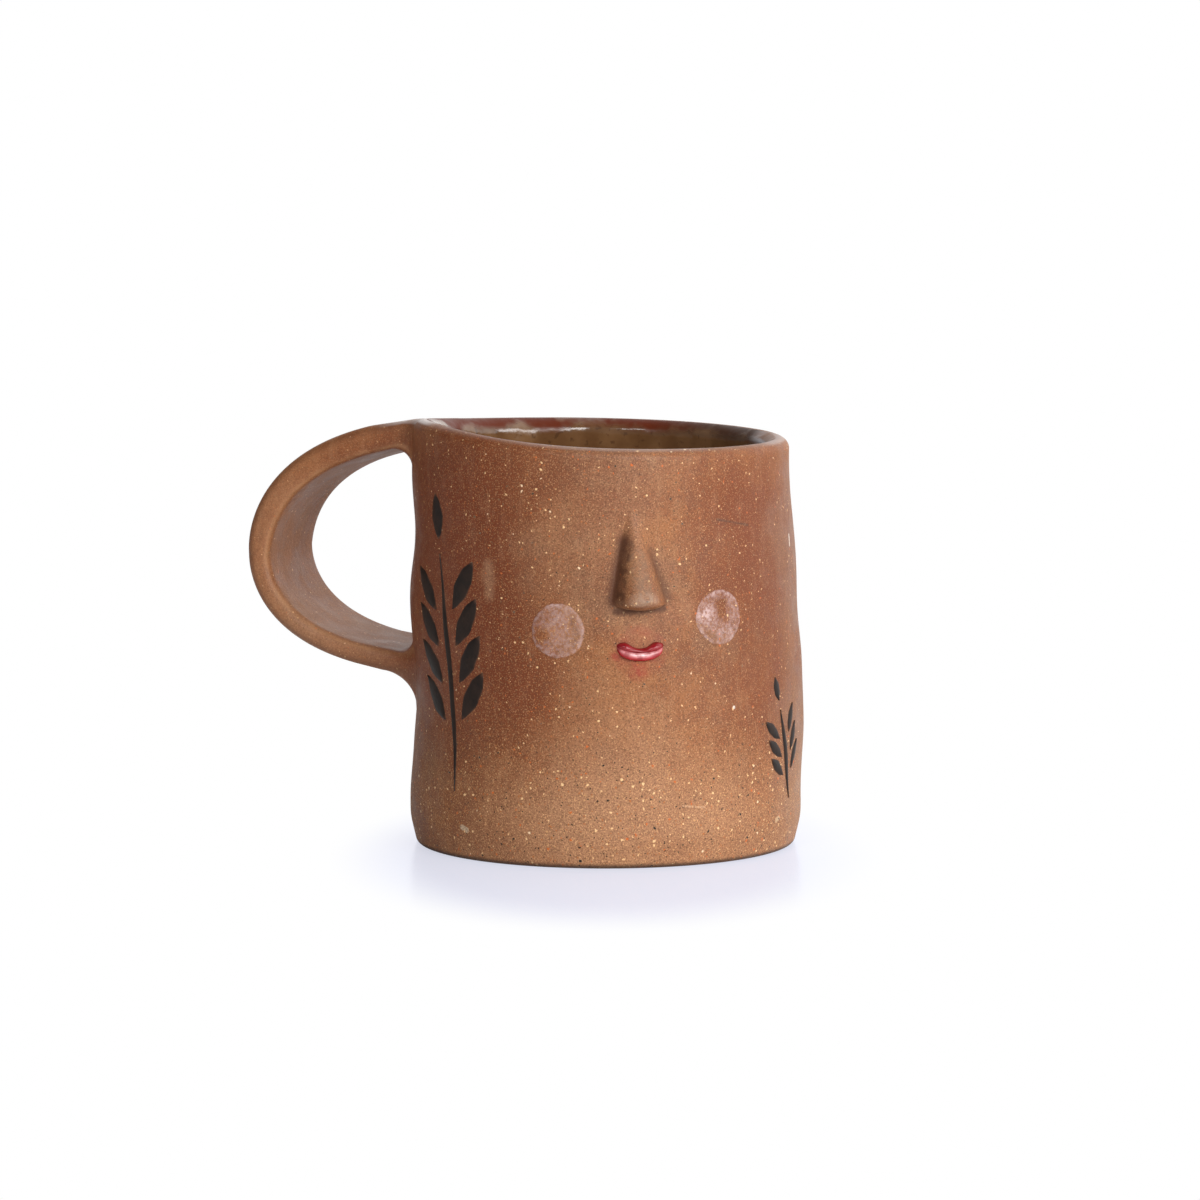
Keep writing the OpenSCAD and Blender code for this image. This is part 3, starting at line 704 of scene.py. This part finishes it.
def make_floor():
    """The floor, with its sloping side and the rounded edge that it stands on."""
    lean = math.radians(FOOT_SLOPE)
    side_low = FOOT_ROUND * (1 - math.sin(lean))
    side = [(float(body_r(0.0, z)), z) for z in np.linspace(FLOOR_THICK, side_low, SIDE_ROWS)]
    round_r = side[-1][0] - FOOT_ROUND * math.cos(lean)
    edge = [(round_r + FOOT_ROUND * cosd(b), FOOT_ROUND - FOOT_ROUND * sind(b))
            for b in np.linspace(FOOT_SLOPE, 90, FOOT_ROWS)[1:]]
    # The lid has points of its own at its edge, so that the shading doesn't bend round it
    lid = [(CENTRE_R, FLOOR_THICK), side[0]]
    base = [(round_r * BASE_RING, 0.0), (CENTRE_R, 0.0)]
    rings = [polar(turn, r + 0 * turn, z) for r, z in lid + side + edge + base]
    faces = ring_faces(len(rings), COLUMNS, skip=len(lid) - 1)
    last = (len(rings) - 1) * COLUMNS
    faces.append(tuple(range(COLUMNS)))
    faces.append(tuple(range(last, last + COLUMNS))[::-1])
    plain = np.concatenate([plainness(ring[:, 2]) for ring in rings])
    make_piece("floor_disc", rings, faces, "floor_slab", clay, {"plain": plain})


make_wall()
make_floor()

# The coil in the corner stays as the CAD has it, under the glaze
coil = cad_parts["seam_coil"]
coil.data.materials.clear()
coil.data.materials.append(clay)

# Glaze inside
GLAZE_THICK = 0.45
# The coat's back lies this far off the clay
COAT_GAP = 0.02
# Where round the rim the coat starts, with 90 at the crest
COAT_START = 104
COAT_RIM_ROWS = 12
COAT_WALL_ROWS = 60
COAT_CORNER_ROWS = 10
# Rings on the floor, as shares of the radius at the corner
COAT_FLOOR = (0.7, 0.4, 0.1, 0.01)
# The coat thins to nothing over these rings at its upper edge, from a part of one ring's step
THIN_RINGS = 14
THIN_START = 0.3
# It ran down, and lies thickest a little way below the rim
GLAZE_RUN = 0.46
RUN_DEPTH = 2.6
RUN_END = 40.0


def cup_rings(off):
    """The inside of the cup, off the clay, from the rim's inner slope to the floor's middle."""
    found = []
    for b in np.linspace(COAT_START, 180, COAT_RIM_ROWS)[:-1]:
        r = rim_mid + (WALL_THICK / 2 + off) * cosd(b)
        found.append(polar(turn, r, edge_z + (RIM_ROUND + off) * sind(b)))
    bend = FLOOR_THICK + COIL_ROUND
    for t in np.linspace(0, 1, COAT_WALL_ROWS):
        z = mix(edge_z, bend, t)
        found.append(polar(turn, wall_r(turn, z) - WALL_THICK - off, z))
    hollow = COIL_ROUND - off
    for b in np.linspace(0, 90, COAT_CORNER_ROWS)[1:]:
        r = wall_r(turn, bend + 0 * turn) - WALL_THICK - off - hollow * (1 - cosd(b))
        found.append(polar(turn, r, bend - hollow * sind(b)))
    corner = found[-1]
    return found + [corner * [share, share, 1] for share in COAT_FLOOR]


def make_glaze():
    back = cup_rings(COAT_GAP)
    front = cup_rings(GLAZE_THICK)
    for k in range(THIN_RINGS):
        front[k] = mix(back[k], front[k], smooth((k + THIN_START) / THIN_RINGS))
    for ring in front:
        down = rim_z(turn) - ring[:, 2]
        run = GLAZE_RUN * smooth(down / RUN_DEPTH) * smooth((RUN_END - down) / (RUN_END - RUN_DEPTH))
        ring[:, :2] *= (1 - run / np.hypot(ring[:, 0], ring[:, 1]))[:, None]
    rings = back[::-1] + front
    deep = np.concatenate([rim_z(turn) - ring[:, 2] for ring in rings])
    make_piece("glaze", rings, ring_faces(len(rings), COLUMNS, closed=True), "liner_glaze",
               brown_glaze, {"deep": deep})


make_glaze()

# Handle: a strap along two curves, smoothed on to the wall at both ends
FINGER_ROOM = 31.0
STRAP_WIDTH = 28.0
STRAP_TOP = 6.0
STRAP_SIDE = 5.0
STRAP_LOW = 4.6
STRAP_LOW_Z = 38.3
STRAP_EDGE = 2.1
STRAP_CROWN = 0.29
STRAP_FALL = 7.0
STRAP_RISE = 4.0
# The most of the strap's thickness that its rounded edges take
EDGE_SHARE = 0.45
UPPER_FILLET = 5.0
LOWER_FILLET = 8.0
SIDE_FILLET = 3.5
UPPER_SIDE_FILLET = 2.5
INNER_FILLET = 3.5
# The least run of a root along the strap, and what it takes beyond its fillet
CREST_RUN = 2.0
ROOT_MARGIN = 2.0
# How strongly the curves leave the wall and the bow, and the bow's place between the ends
ROOT_PULL = 0.93
SIDE_PULL = 0.2
BOW_SHARE = 0.46
# A root takes this much more of its curve than its run
CURVE_SPARE = 1.25
# How far below the crest of the rim the upper root lies, and the least that any ring does
RIM_DROP = 0.25
RIM_CLEAR = 0.06
EDGE_POINTS = 11
FACE_POINTS = 25
STRAP_RINGS = 56
ROOT_RINGS = 17
# How far the wall is sought along the strap, and how often that stretch is halved
SEAT_REACH = 12.0
SEAT_TRIES = 30
# Inner edges are rubbed pale, partly as a painted highlight, and outer ones are darker: degrees from the
# face's middle, spread
INNER_RUB_AND_LIT = (46, 14)
OUTER_DARKER = (55, 26)
# The upper root's top carries on the rim's worn crest, with its painted sheen and highlight: how far down
# and out, each with its fade
ROOT_CREST_DOWN = 1.4
ROOT_CREST_FADE = 0.8
ROOT_CREST_OUT = 5
ROOT_CREST_SOFT = 4
STRAP_PLAIN = 0.4

upper_z = float(rim_z(HANDLE_ANGLE)) - RIM_DROP - STRAP_TOP / 2
upper_end = np.array([-float(wall_r(HANDLE_ANGLE, upper_z)), upper_z])
lower_end = np.array([-float(wall_r(HANDLE_ANGLE, STRAP_LOW_Z)), STRAP_LOW_Z])
bow = np.array([-ARC_R - FINGER_ROOM - STRAP_SIDE / 2, mix(STRAP_LOW_Z, upper_z, BOW_SHARE)])
upper_out = np.array([-cosd(STRAP_FALL), -sind(STRAP_FALL)])
lower_out = np.array([-cosd(STRAP_RISE), sind(STRAP_RISE)])
upper_reach = upper_end[0] - bow[0]
lower_reach = lower_end[0] - bow[0]
upward = np.array([0.0, 1.0])
upper_curve = [upper_end, upper_end + ROOT_PULL * upper_reach * upper_out,
               bow + upward * SIDE_PULL * (upper_end[1] - bow[1]), bow]
lower_curve = [bow, bow - upward * SIDE_PULL * (bow[1] - lower_end[1]),
               lower_end + ROOT_PULL * lower_reach * lower_out, lower_end]


def curve_point(c, t):
    s = 1 - t
    return s ** 3 * c[0] + 3 * s * s * t * c[1] + 3 * s * t * t * c[2] + t ** 3 * c[3]


def curve_dir(c, t):
    s = 1 - t
    d = s * s * (c[1] - c[0]) + 2 * s * t * (c[2] - c[1]) + t * t * (c[3] - c[2])
    return d / np.linalg.norm(d)


def curve_share(run, reach):
    """The share of a curve that a root takes, whose run is in millimetres."""
    return CURVE_SPARE * run / (3 * ROOT_PULL * reach)


def strap_section(thick):
    """Width, thickness and edge angle of the points of the strap's section, round from its outer face."""
    edge = min(STRAP_EDGE, thick * EDGE_SHARE)
    flat, rise = STRAP_WIDTH / 2 - edge, thick / 2 - edge
    rounds = np.linspace(0, 90, EDGE_POINTS)
    cols = [(-flat - edge * cosd(b), rise + edge * sind(b), 180 - b) for b in rounds]
    cols += [(f * flat, thick / 2 + STRAP_CROWN * (1 - f * f), 90.0)
             for f in np.linspace(-1, 1, FACE_POINTS)[1:-1]]
    cols += [(flat + edge * cosd(b), rise + edge * sind(b), b) for b in rounds[::-1]]
    cols += [(w, -min(h, thick / 2), -b) for w, h, b in cols[::-1]]
    return np.array(cols)


def rim_step(w):
    """How much higher the rim is beside the middle of the handle."""
    return rim_z(HANDLE_ANGLE - np.degrees(np.arcsin(w / RIM_R))) - rim_z(HANDLE_ANGLE)


def strap_ring(curve, t, thick, follow):
    """A ring of the strap, which follows the rim's rise by a share."""
    mid, heading = curve_point(curve, t), curve_dir(curve, t)
    p = strap_section(thick)
    return np.stack([mid[0] + heading[1] * p[:, 1], p[:, 0],
                     mid[1] - heading[0] * p[:, 1] + follow * rim_step(p[:, 0])], -1)


def seat(points, heading):
    """Points moved along heading until they lie on the wall."""
    near, far = np.full(len(points), -SEAT_REACH), np.full(len(points), SEAT_REACH)
    for _ in range(SEAT_TRIES):
        middle = (near + far) / 2
        moved = points + heading * middle[:, None]
        outside = np.hypot(moved[:, 0], moved[:, 1]) > skin_r(angle_of(moved), moved[:, 2])
        near, far = np.where(outside, middle, near), np.where(outside, far, middle)
    return moved


def root_ring(mid, out, sign, thick, fillets, side, follow, beta):
    """A ring of a root: beta is 0 where it leaves the strap and 90 where it lies on the wall."""
    p = strap_section(thick)
    face = np.where(p[:, 1] > 0, fillets[0], fillets[1])
    side_run = (max(fillets[0], CREST_RUN) + fillets[1]) / 2
    run = mix(side_run, np.maximum(face, CREST_RUN), sind(p[:, 2]) ** 2)
    grow = 1 - cosd(beta)
    w = p[:, 0] + side * grow * cosd(p[:, 2])
    h = p[:, 1] + face * grow * sind(p[:, 2])
    start = np.stack([mid[0] + sign * out[1] * h, w,
                      mid[1] - sign * out[0] * h + follow * rim_step(w)], -1)
    start[:, 2] = np.minimum(start[:, 2], rim_z(angle_of(start)) - RIM_DROP)
    heading = np.array([-out[0], 0, -out[1]])
    ring = seat(start, heading) - heading * (run * (1 - sind(beta)) - SINK)[:, None]
    ring[:, 2] = np.minimum(ring[:, 2], rim_z(angle_of(ring)) - RIM_CLEAR)
    return ring


def strap_rings():
    betas = np.linspace(0, 90, ROOT_RINGS)
    upper_start = curve_share(UPPER_FILLET + ROOT_MARGIN, upper_reach)
    lower_start = curve_share(LOWER_FILLET + ROOT_MARGIN, lower_reach)
    rings = [root_ring(upper_end, upper_out, 1, STRAP_TOP, (0, UPPER_FILLET), UPPER_SIDE_FILLET, 1, beta)
             for beta in betas[::-1]]
    for t in np.linspace(upper_start, 1, STRAP_RINGS):
        thick = mix(STRAP_TOP, STRAP_SIDE, t ** 3)
        rings.append(strap_ring(upper_curve, t, thick, (1 - t) ** 3))
    for t in np.linspace(0, 1 - lower_start, STRAP_RINGS)[1:]:
        thick = float(mix(STRAP_SIDE, STRAP_LOW, smooth(t)))
        rings.append(strap_ring(lower_curve, t, thick, 0))
    fillets = (LOWER_FILLET, INNER_FILLET)
    return rings + [root_ring(lower_end, lower_out, -1, STRAP_LOW, fillets, SIDE_FILLET, 0, beta)
                    for beta in betas]


def make_handle():
    rings = strap_rings()
    n = len(rings[0])
    last = (len(rings) - 1) * n
    faces = ring_faces(len(rings), n)
    for i in range(n // 2 - 1):
        faces.append((i, n - 1 - i, n - 2 - i, i + 1))
        faces.append((last + i, last + i + 1, last + n - 2 - i, last + n - 1 - i))
    edge_turn = strap_section(STRAP_SIDE)[:, 2]
    inner = bell((np.abs(edge_turn + 90) - INNER_RUB_AND_LIT[0]) / INNER_RUB_AND_LIT[1])
    outer = bell((np.abs(edge_turn - 90) - OUTER_DARKER[0]) / OUTER_DARKER[1])
    rub_and_light = np.where(edge_turn < 0, inner, -outer)
    points = np.concatenate(rings)
    above = smooth((points[:, 2] - (rim_z(angle_of(points)) - ROOT_CREST_DOWN)) / ROOT_CREST_FADE)
    near = smooth((points[:, 0] + RIM_R + ROOT_CREST_OUT) / ROOT_CREST_SOFT)
    make_piece("handle", rings, [face[::-1] for face in faces], "handle_strap", clay,
               {"rub_and_light": np.tile(rub_and_light, len(rings)), "plain": np.full(len(points), STRAP_PLAIN),
                "crest": above * near})


make_handle()

# How far behind the wall's surface a piece laid on it reaches
PATCH_BACK = 0.3


def patch_grid(cols, rows):
    """Places across and up a patch, from -1 to 1, row by row."""
    y, x = np.meshgrid(np.linspace(-1, 1, rows), np.linspace(-1, 1, cols), indexing="ij")
    return x, y


def on_wall(angle, forms, cols, rows):
    """Closed patches laid on the wall. A form gives, for x and y from -1 to 1, the distance round
    the wall, the height, how far the patch stands out and how near its edge a point is."""
    points, faces, edges = [], [], []
    x, y = patch_grid(cols, rows)
    index = np.arange(rows * cols).reshape(rows, cols)
    border = index[0, :-1].tolist() + index[:-1, -1].tolist()
    border += index[-1, :0:-1].tolist() + index[:0:-1, 0].tolist()
    for number, form in enumerate(forms):
        u, z, out, edge = form(x, y)
        a = angle + np.degrees(u / ARC_R)
        r = skin_r(a, z) - SINK
        points += [polar(a, r + out, z).reshape(-1, 3), polar(a, r - PATCH_BACK, z).reshape(-1, 3)]
        edges += [edge.ravel(), edge.ravel()]
        front = 2 * number * rows * cols
        back = front + rows * cols
        for i in index[:-1, :-1].ravel().tolist():
            quad = (i, i + 1, i + cols + 1, i + cols)
            faces.append(tuple(front + k for k in quad))
            faces.append(tuple(back + k for k in quad[::-1]))
        for p, q in zip(border, border[1:] + border[:1]):
            faces.append((front + q, front + p, back + p, back + q))
    return np.concatenate(points), faces, np.concatenate(edges)


# Nose: a wedge of clay, thin at the bridge, with a rounded tip
NOSE_LENGTH = 20.4
NOSE_WIDTH = 12.6
NOSE_DEPTH = 6.4
NOSE_Z = 54.2
NOSE_WINGS = 1.3
NOSE_LEAN = 1.4
NOSE_GRID = (61, 81)
# The bridge's width and the tip's rounding, as shares, and how square the flanks are at both
BRIDGE_SHARE = 0.2
TIP_SHARE = 0.12
BRIDGE_POWER = 2.0
TIP_POWER = 3.2
# How the rows close up toward the tip, and how width, height and wings grow down the nose
ROW_POWER = 1.6
WIDTH_POWER = 0.75
RIDGE_POWER = 1.1
WINGS_POWER = 4


def nose_form(x, y):
    q = 1 - ((y + 1) / 2) ** ROW_POWER
    half = NOSE_WIDTH / 2 * mix(BRIDGE_SHARE, 1, q ** WIDTH_POWER)
    tip = np.maximum(q - 1 + TIP_SHARE, 0) / TIP_SHARE
    ridge = NOSE_DEPTH * q ** RIDGE_POWER * np.sqrt(np.maximum(1 - tip * tip, 0))
    flank = (1 - np.abs(x) ** mix(BRIDGE_POWER, TIP_POWER, q)) ** 2
    across = x * half - NOSE_LEAN * (1 - q)
    height = NOSE_Z + (1 - q) * NOSE_LENGTH + NOSE_WINGS * x * x * q ** WINGS_POWER
    return across, height, ridge * flank, np.maximum(np.abs(x), np.abs(y))


nose_points, nose_faces, _ = on_wall(FACE_TURN, [nose_form], *NOSE_GRID)
make_piece("nose_clay", nose_points, nose_faces, "nose", clay)

# Lips: two rolls of clay that close at the corners of the mouth
MOUTH_WIDTH = 10.0
MOUTH_Z = 45.45
SMILE = 1.2
LIP_DEPTH = 1.5
LIP_GAP = 0.04
UPPER_LIP = 1.65
LOWER_LIP = 1.85
LIP_GRID = (61, 25)
# Where across a lip it stands out most, and how far its roll runs past the mouth's line
LIP_CREST = 0.35
LIP_PAST = 0.6
# How far a lip's depth, roll and height go down at its ends and edges
DEPTH_CLOSE = 0.99
ROLL_CLOSE = 0.998
HEIGHT_CLOSE = 0.98
# The upper lip's two bows: place and spread, as shares of half the mouth
LIP_BOW = 0.62
LIP_BOW_SPREAD = 0.3
# Where the painted highlight lies on the lower lip: place and spread across, spread along
PALE_ACROSS = 0.55
PALE_SPREAD = 0.5
PALE_ALONG = 0.75


def upper_edge(x):
    bows = 0.5 + 0.5 * bell((np.abs(x) - LIP_BOW) / LIP_BOW_SPREAD)
    return UPPER_LIP * bows * np.sqrt(1 - HEIGHT_CLOSE * x ** 8)


def lower_edge(x):
    return LOWER_LIP * np.sqrt(1 - HEIGHT_CLOSE * np.abs(x) ** 5)


def lip_form(far_edge, sign):
    """A lip above the line of the mouth, or below it for a sign of -1, with its far edge over x."""
    full = float(np.max(far_edge(np.linspace(-1, 1, 41))))

    def form(x, y):
        high = far_edge(x)
        way = (sign * y + 1) / 2
        height = MOUTH_Z + SMILE * x * x + sign * (LIP_GAP / 2 + high * way)
        roll = np.maximum((way - LIP_CREST) / (1 - LIP_CREST), (LIP_CREST - way) / LIP_PAST)
        plump = LIP_DEPTH * np.sqrt(high / full) * (1 - DEPTH_CLOSE * x ** 8)
        out = plump * np.sqrt(1 - ROLL_CLOSE * roll * roll)
        return x * MOUTH_WIDTH / 2, height, out, np.maximum(x ** 4, way * way)
    return form


def make_lip(name, node, far_edge, sign, rub_and_light):
    points, faces, edges = on_wall(FACE_TURN, [lip_form(far_edge, sign)], *LIP_GRID)
    make_piece(name, points, faces, node, red_glaze,
               {"edge": edges, "rub_and_light": np.tile(rub_and_light.ravel(), 2)})


# The upper lip carries painted shade, and the lower lip a painted highlight
lip_x, lip_y = patch_grid(*LIP_GRID)
make_lip("lip_over", "upper_lip", upper_edge, 1, np.full(lip_x.shape, -1.0))
make_lip("lip_under", "lower_lip", lower_edge, -1,
         bell((lip_y - PALE_ACROSS) / PALE_SPREAD) * bell(lip_x / PALE_ALONG))

# Cheeks: thin dabs of slip with an uneven edge, wiped thin in places
CHEEK_DIA = 11.6
CHEEK_OFFSET = 17.8
CHEEK_SHIFT = 0.4
LEFT_CHEEK_Z = 49.8
RIGHT_CHEEK_Z = 52.0
SLIP_THICK = 0.25
CHEEK_GRID = (65, 65)
# Waves of the outline: share of the radius, waves round it, times that the start is added
CHEEK_WAVES = [(0.015, 3, 1), (0.01, 7, 2), (0.006, 19, 0)]
# Start of the waves, in degrees per millimetre of the cheek's height
WAVE_START = 40
# Thickness of the middle as a share, where the thicker border sets in, and how steep the edge is
CHEEK_MIDDLE = 0.45
CHEEK_BORDER = 0.6
CHEEK_BORDER_RUN = 0.25
CHEEK_EDGE_POWER = 14
# The least that a dab stands out, so that its front stays clear of the wall
DAB_CLEAR = SINK * 0.5
# Where a dab is thick (above 0) or wiped thin: place across and up, strength, spread
LEFT_DAB = [
    (0.1, 0.55, 0.16, 0.45), (0.55, -0.25, 0.12, 0.45), (-0.45, -0.1, -0.05, 0.4), (0.05, -0.7, 0.1, 0.35),
]
RIGHT_DAB = [
    (0, 0, 0.1, 2.0), (-0.6, 0.15, 0.6, 0.4), (0.1, 0.42, -0.3, 0.26), (0.2, 0.05, -0.28, 0.26),
    (0.0, -0.4, 0.22, 0.24), (0.5, -0.5, 0.2, 0.3), (-0.5, -0.7, -0.3, 0.3),
]


def cheek_form(offset, z):
    start = WAVE_START * z

    def form(x, y):
        u, v = x * np.sqrt(1 - y * y / 2), y * np.sqrt(1 - x * x / 2)
        way = np.degrees(np.arctan2(v, u))
        edge = np.hypot(u, v)
        waves = sum(share * sind(count * way + shift * start) for share, count, shift in CHEEK_WAVES)
        r = CHEEK_DIA / 2 * (1 + waves)
        border = smooth((edge - CHEEK_BORDER) / CHEEK_BORDER_RUN)
        thick = SLIP_THICK * mix(CHEEK_MIDDLE, 1, border) * (1 - edge ** CHEEK_EDGE_POWER)
        return offset + r * u, z + r * v, DAB_CLEAR + thick, edge
    return form


def make_cheek(name, node, offset, z, spots):
    points, faces, edges = on_wall(FACE_TURN, [cheek_form(offset, z)], *CHEEK_GRID)
    x, y = patch_grid(*CHEEK_GRID)
    dab = sum(k * bell(np.hypot(x - across, y - up) / spread) for across, up, k, spread in spots)
    make_piece(name, points, faces, node, pink_slip,
               {"edge": edges, "dab": np.tile(dab.ravel(), 2)})


make_cheek("dab_left", "left_cheek", CHEEK_SHIFT - CHEEK_OFFSET, LEFT_CHEEK_Z, LEFT_DAB)
make_cheek("dab_right", "right_cheek", CHEEK_SHIFT + CHEEK_OFFSET, RIGHT_CHEEK_Z, RIGHT_DAB)

# Sprigs: a stem, pairs of plain leaves and one at its top, each a stroke of the brush
STEM_HALF = 0.9
LEAF_OPEN = 38.0
STROKE_GRID = (9, 49)
# A leaf's length over half its width
LEAF_SLIM = 5.5
# Where the pairs start and how far they spread on the stem, and the top leaf's size, as shares
PAIRS_FROM = 0.3
PAIRS_SPREAD = 0.62
TOP_LEAF = 0.8
# A stroke's fullness, least half width, share of the slip's thickness and uneven edge
STROKE_POWER = 0.75
STROKE_LEAST = 0.12
STROKE_THICK = 0.9
STROKE_UNEVEN = 0.05


def stroke_form(place, way, length, half):
    """A stroke from a place on the wall along an angle, which is 0 to the right and 90 upward."""
    def form(x, y):
        s = (y + 1) / 2
        w = x * np.maximum(half * sind(180 * s) ** STROKE_POWER, STROKE_LEAST)
        w = w * (1 + STROKE_UNEVEN * sind(900 * s + 40 * length))
        across = place[0] + length * s * cosd(way) + w * sind(way)
        height = place[1] + length * s * sind(way) - w * cosd(way)
        out = SINK + SLIP_THICK * (1 - x * x) * STROKE_THICK
        return across, height, out, np.maximum(np.abs(x), np.abs(2 * s - 1))
    return form


def sprig_forms(z, lean, stem, leaf, pairs):
    """The strokes of a sprig whose stem starts at height z and leans to the left."""
    way = 90 + lean
    leaf_half = leaf / LEAF_SLIM
    clear = STEM_HALF + leaf_half
    forms = [stroke_form((0, z), way, stem, STEM_HALF)]
    for i in range(pairs):
        along = stem * (PAIRS_FROM + PAIRS_SPREAD * i / pairs)
        for side in (-1, 1):
            root = (along * cosd(way) + side * clear * sind(way),
                    z + along * sind(way) - side * clear * cosd(way))
            forms.append(stroke_form(root, way - side * LEAF_OPEN, leaf, leaf_half))
    tip = ((stem + clear) * cosd(way), z + (stem + clear) * sind(way))
    return forms + [stroke_form(tip, way, leaf * TOP_LEAF, leaf_half)]


def make_sprig(name, node, angle, forms):
    points, faces, edges = on_wall(angle, forms, *STROKE_GRID)
    make_piece(name, points, faces, node, dark_slip, {"edge": edges})


make_sprig("sprig_large", "left_sprig", 239, sprig_forms(z=14.5, lean=7, stem=50, leaf=12, pairs=4))
make_sprig("sprig_small", "right_sprig", 356, sprig_forms(z=11.5, lean=14, stem=20, leaf=6.5, pairs=3))

# The photograph's view: degrees round and down, metres away, up and aside, focal length
VIEW_TURN = 18.5
VIEW_PITCH = 6.33
VIEW_FAR = 1.2
VIEW_HIGH = 0.185
VIEW_ASIDE = -0.0012
LENS = 169.0
CLIP_END = 50.0
right = Vector((cosd(VIEW_TURN), sind(VIEW_TURN), 0))
level = Vector((-sind(VIEW_TURN), cosd(VIEW_TURN), 0))

# Floor of the studio, in metres. It lies just clear of the mug's base.
GROUND_HALF = 4
GROUND_DROP = 0.00005
# It is seen as plain white outside an oval about the mug, longer toward the viewer
OVAL_MIDDLE = 0.02
OVAL_WIDE = 0.05
OVAL_LONG = 0.085
OVAL_FADE = (0.72, 1.2)
# How much of the white is seen in the oval, and the floor's colours as lit, as seen and as white
OVAL_WHITE = 0.62
FLOOR_LIT = (0.9, 0.9, 0.9, 1)
FLOOR_SEEN = (0.76, 0.83, 1.0, 1)
OVAL_TINT = (0.95, 0.96, 1.08, 1)
WHITE = (1, 1, 1, 1)
FLOOR_ROUGH = 0.22


def ground_material():
    """White, a little glossy, with the mug's soft shadow and a faint reflection."""
    g = Graph(bpy.data.materials.new("ground"))
    place = g.coords()
    seen = g.add("ShaderNodeLightPath").outputs["Is Camera Ray"]
    aside = g.measure("DOT_PRODUCT", place, right / OVAL_WIDE)
    ahead = g.minus(g.measure("DOT_PRODUCT", place, -level / OVAL_LONG), OVAL_MIDDLE / OVAL_LONG)
    away = g.math("SQRT", g.plus(g.times(aside, aside), g.times(ahead, ahead)))
    far = g.times(g.ramp(away, *OVAL_FADE, OVAL_WHITE, 1.0), seen)
    tint = g.blend(seen, FLOOR_LIT, FLOOR_SEEN)
    lit = g.add("ShaderNodeBsdfPrincipled", {"Base Color": tint, "Roughness": FLOOR_ROUGH}).outputs[0]
    pale = g.blend(g.ramp(away, *OVAL_FADE), OVAL_TINT, WHITE)
    plain = g.add("ShaderNodeEmission", {"Color": pale}).outputs[0]
    return g.finish(g.add("ShaderNodeMixShader", {0: far, 1: lit, 2: plain}).outputs[0])


def make_ground():
    mesh = bpy.data.meshes.new("ground")
    corners = [(GROUND_HALF * x, GROUND_HALF * y, 0) for x, y in ((-1, -1), (1, -1), (1, 1), (-1, 1))]
    mesh.from_pydata(corners, [], [(0, 1, 2, 3)])
    mesh.materials.append(ground_material())
    ground = add_object("ground", mesh)
    ground.location.z = -GROUND_DROP


make_ground()

# Light: a white room, brightest behind the mug and at its right, and three soft lamps
ROOM_BRIGHT_WAY = (0.5, 0.82, 0.27)
ROOM_DIM = 0.13
ROOM_BRIGHT = 1.4


def make_room():
    """The room lights the mug unevenly, and is seen as plain white."""
    world = bpy.data.worlds.new("studio")
    bpy.context.scene.world = world
    g = Graph(world)
    way = g.add("ShaderNodeTexCoord").outputs["Generated"]
    room = g.ramp(g.measure("DOT_PRODUCT", way, ROOM_BRIGHT_WAY), 0.0, 0.9, ROOM_DIM, ROOM_BRIGHT)
    seen = g.add("ShaderNodeLightPath").outputs["Is Camera Ray"]
    strength = g.add("ShaderNodeMix", {0: seen, 2: room, 3: 1.0}).outputs[0]
    shine = g.add("ShaderNodeBackground", {"Color": WHITE, "Strength": strength})
    g.add("ShaderNodeOutputWorld", {"Surface": shine.outputs[0]})


def make_lamp(name, place, target, size, power):
    """A soft lamp, in metres and watts."""
    data = bpy.data.lights.new(name, "AREA")
    data.shape = "RECTANGLE"
    data.size, data.size_y = size
    data.energy = power
    lamp = add_object(name, data)
    lamp.location = place
    lamp.rotation_euler = (Vector(target) - Vector(place)).to_track_quat("-Z", "Y").to_euler()


make_room()
make_lamp("key", place=(1.0, -0.9, 0.6), target=(0, 0, 0.04), size=(0.9, 0.6), power=13.2)
make_lamp("side", place=(1.386, -0.195, 0.29), target=(0, 0, 0.05), size=(0.75, 0.2), power=2.8)
make_lamp("window", place=(-0.15, -1.6, 0.98), target=(0, 0, 0.05), size=(0.62, 0.4), power=6.5)


def make_camera():
    data = bpy.data.cameras.new("camera")
    data.lens = LENS
    data.clip_end = CLIP_END
    camera = add_object("camera", data)
    look = level * cosd(VIEW_PITCH) - Vector((0, 0, 1)) * sind(VIEW_PITCH)
    place = -level * VIEW_FAR + Vector((0, 0, VIEW_HIGH)) + right * VIEW_ASIDE
    basis = Matrix((right, right.cross(look), -look)).transposed()
    camera.matrix_world = Matrix.Translation(place) @ basis.to_4x4()
    bpy.context.scene.camera = camera


make_camera()
bpy.context.scene.view_settings.view_transform = "Standard"

bpy.context.view_layer.update()
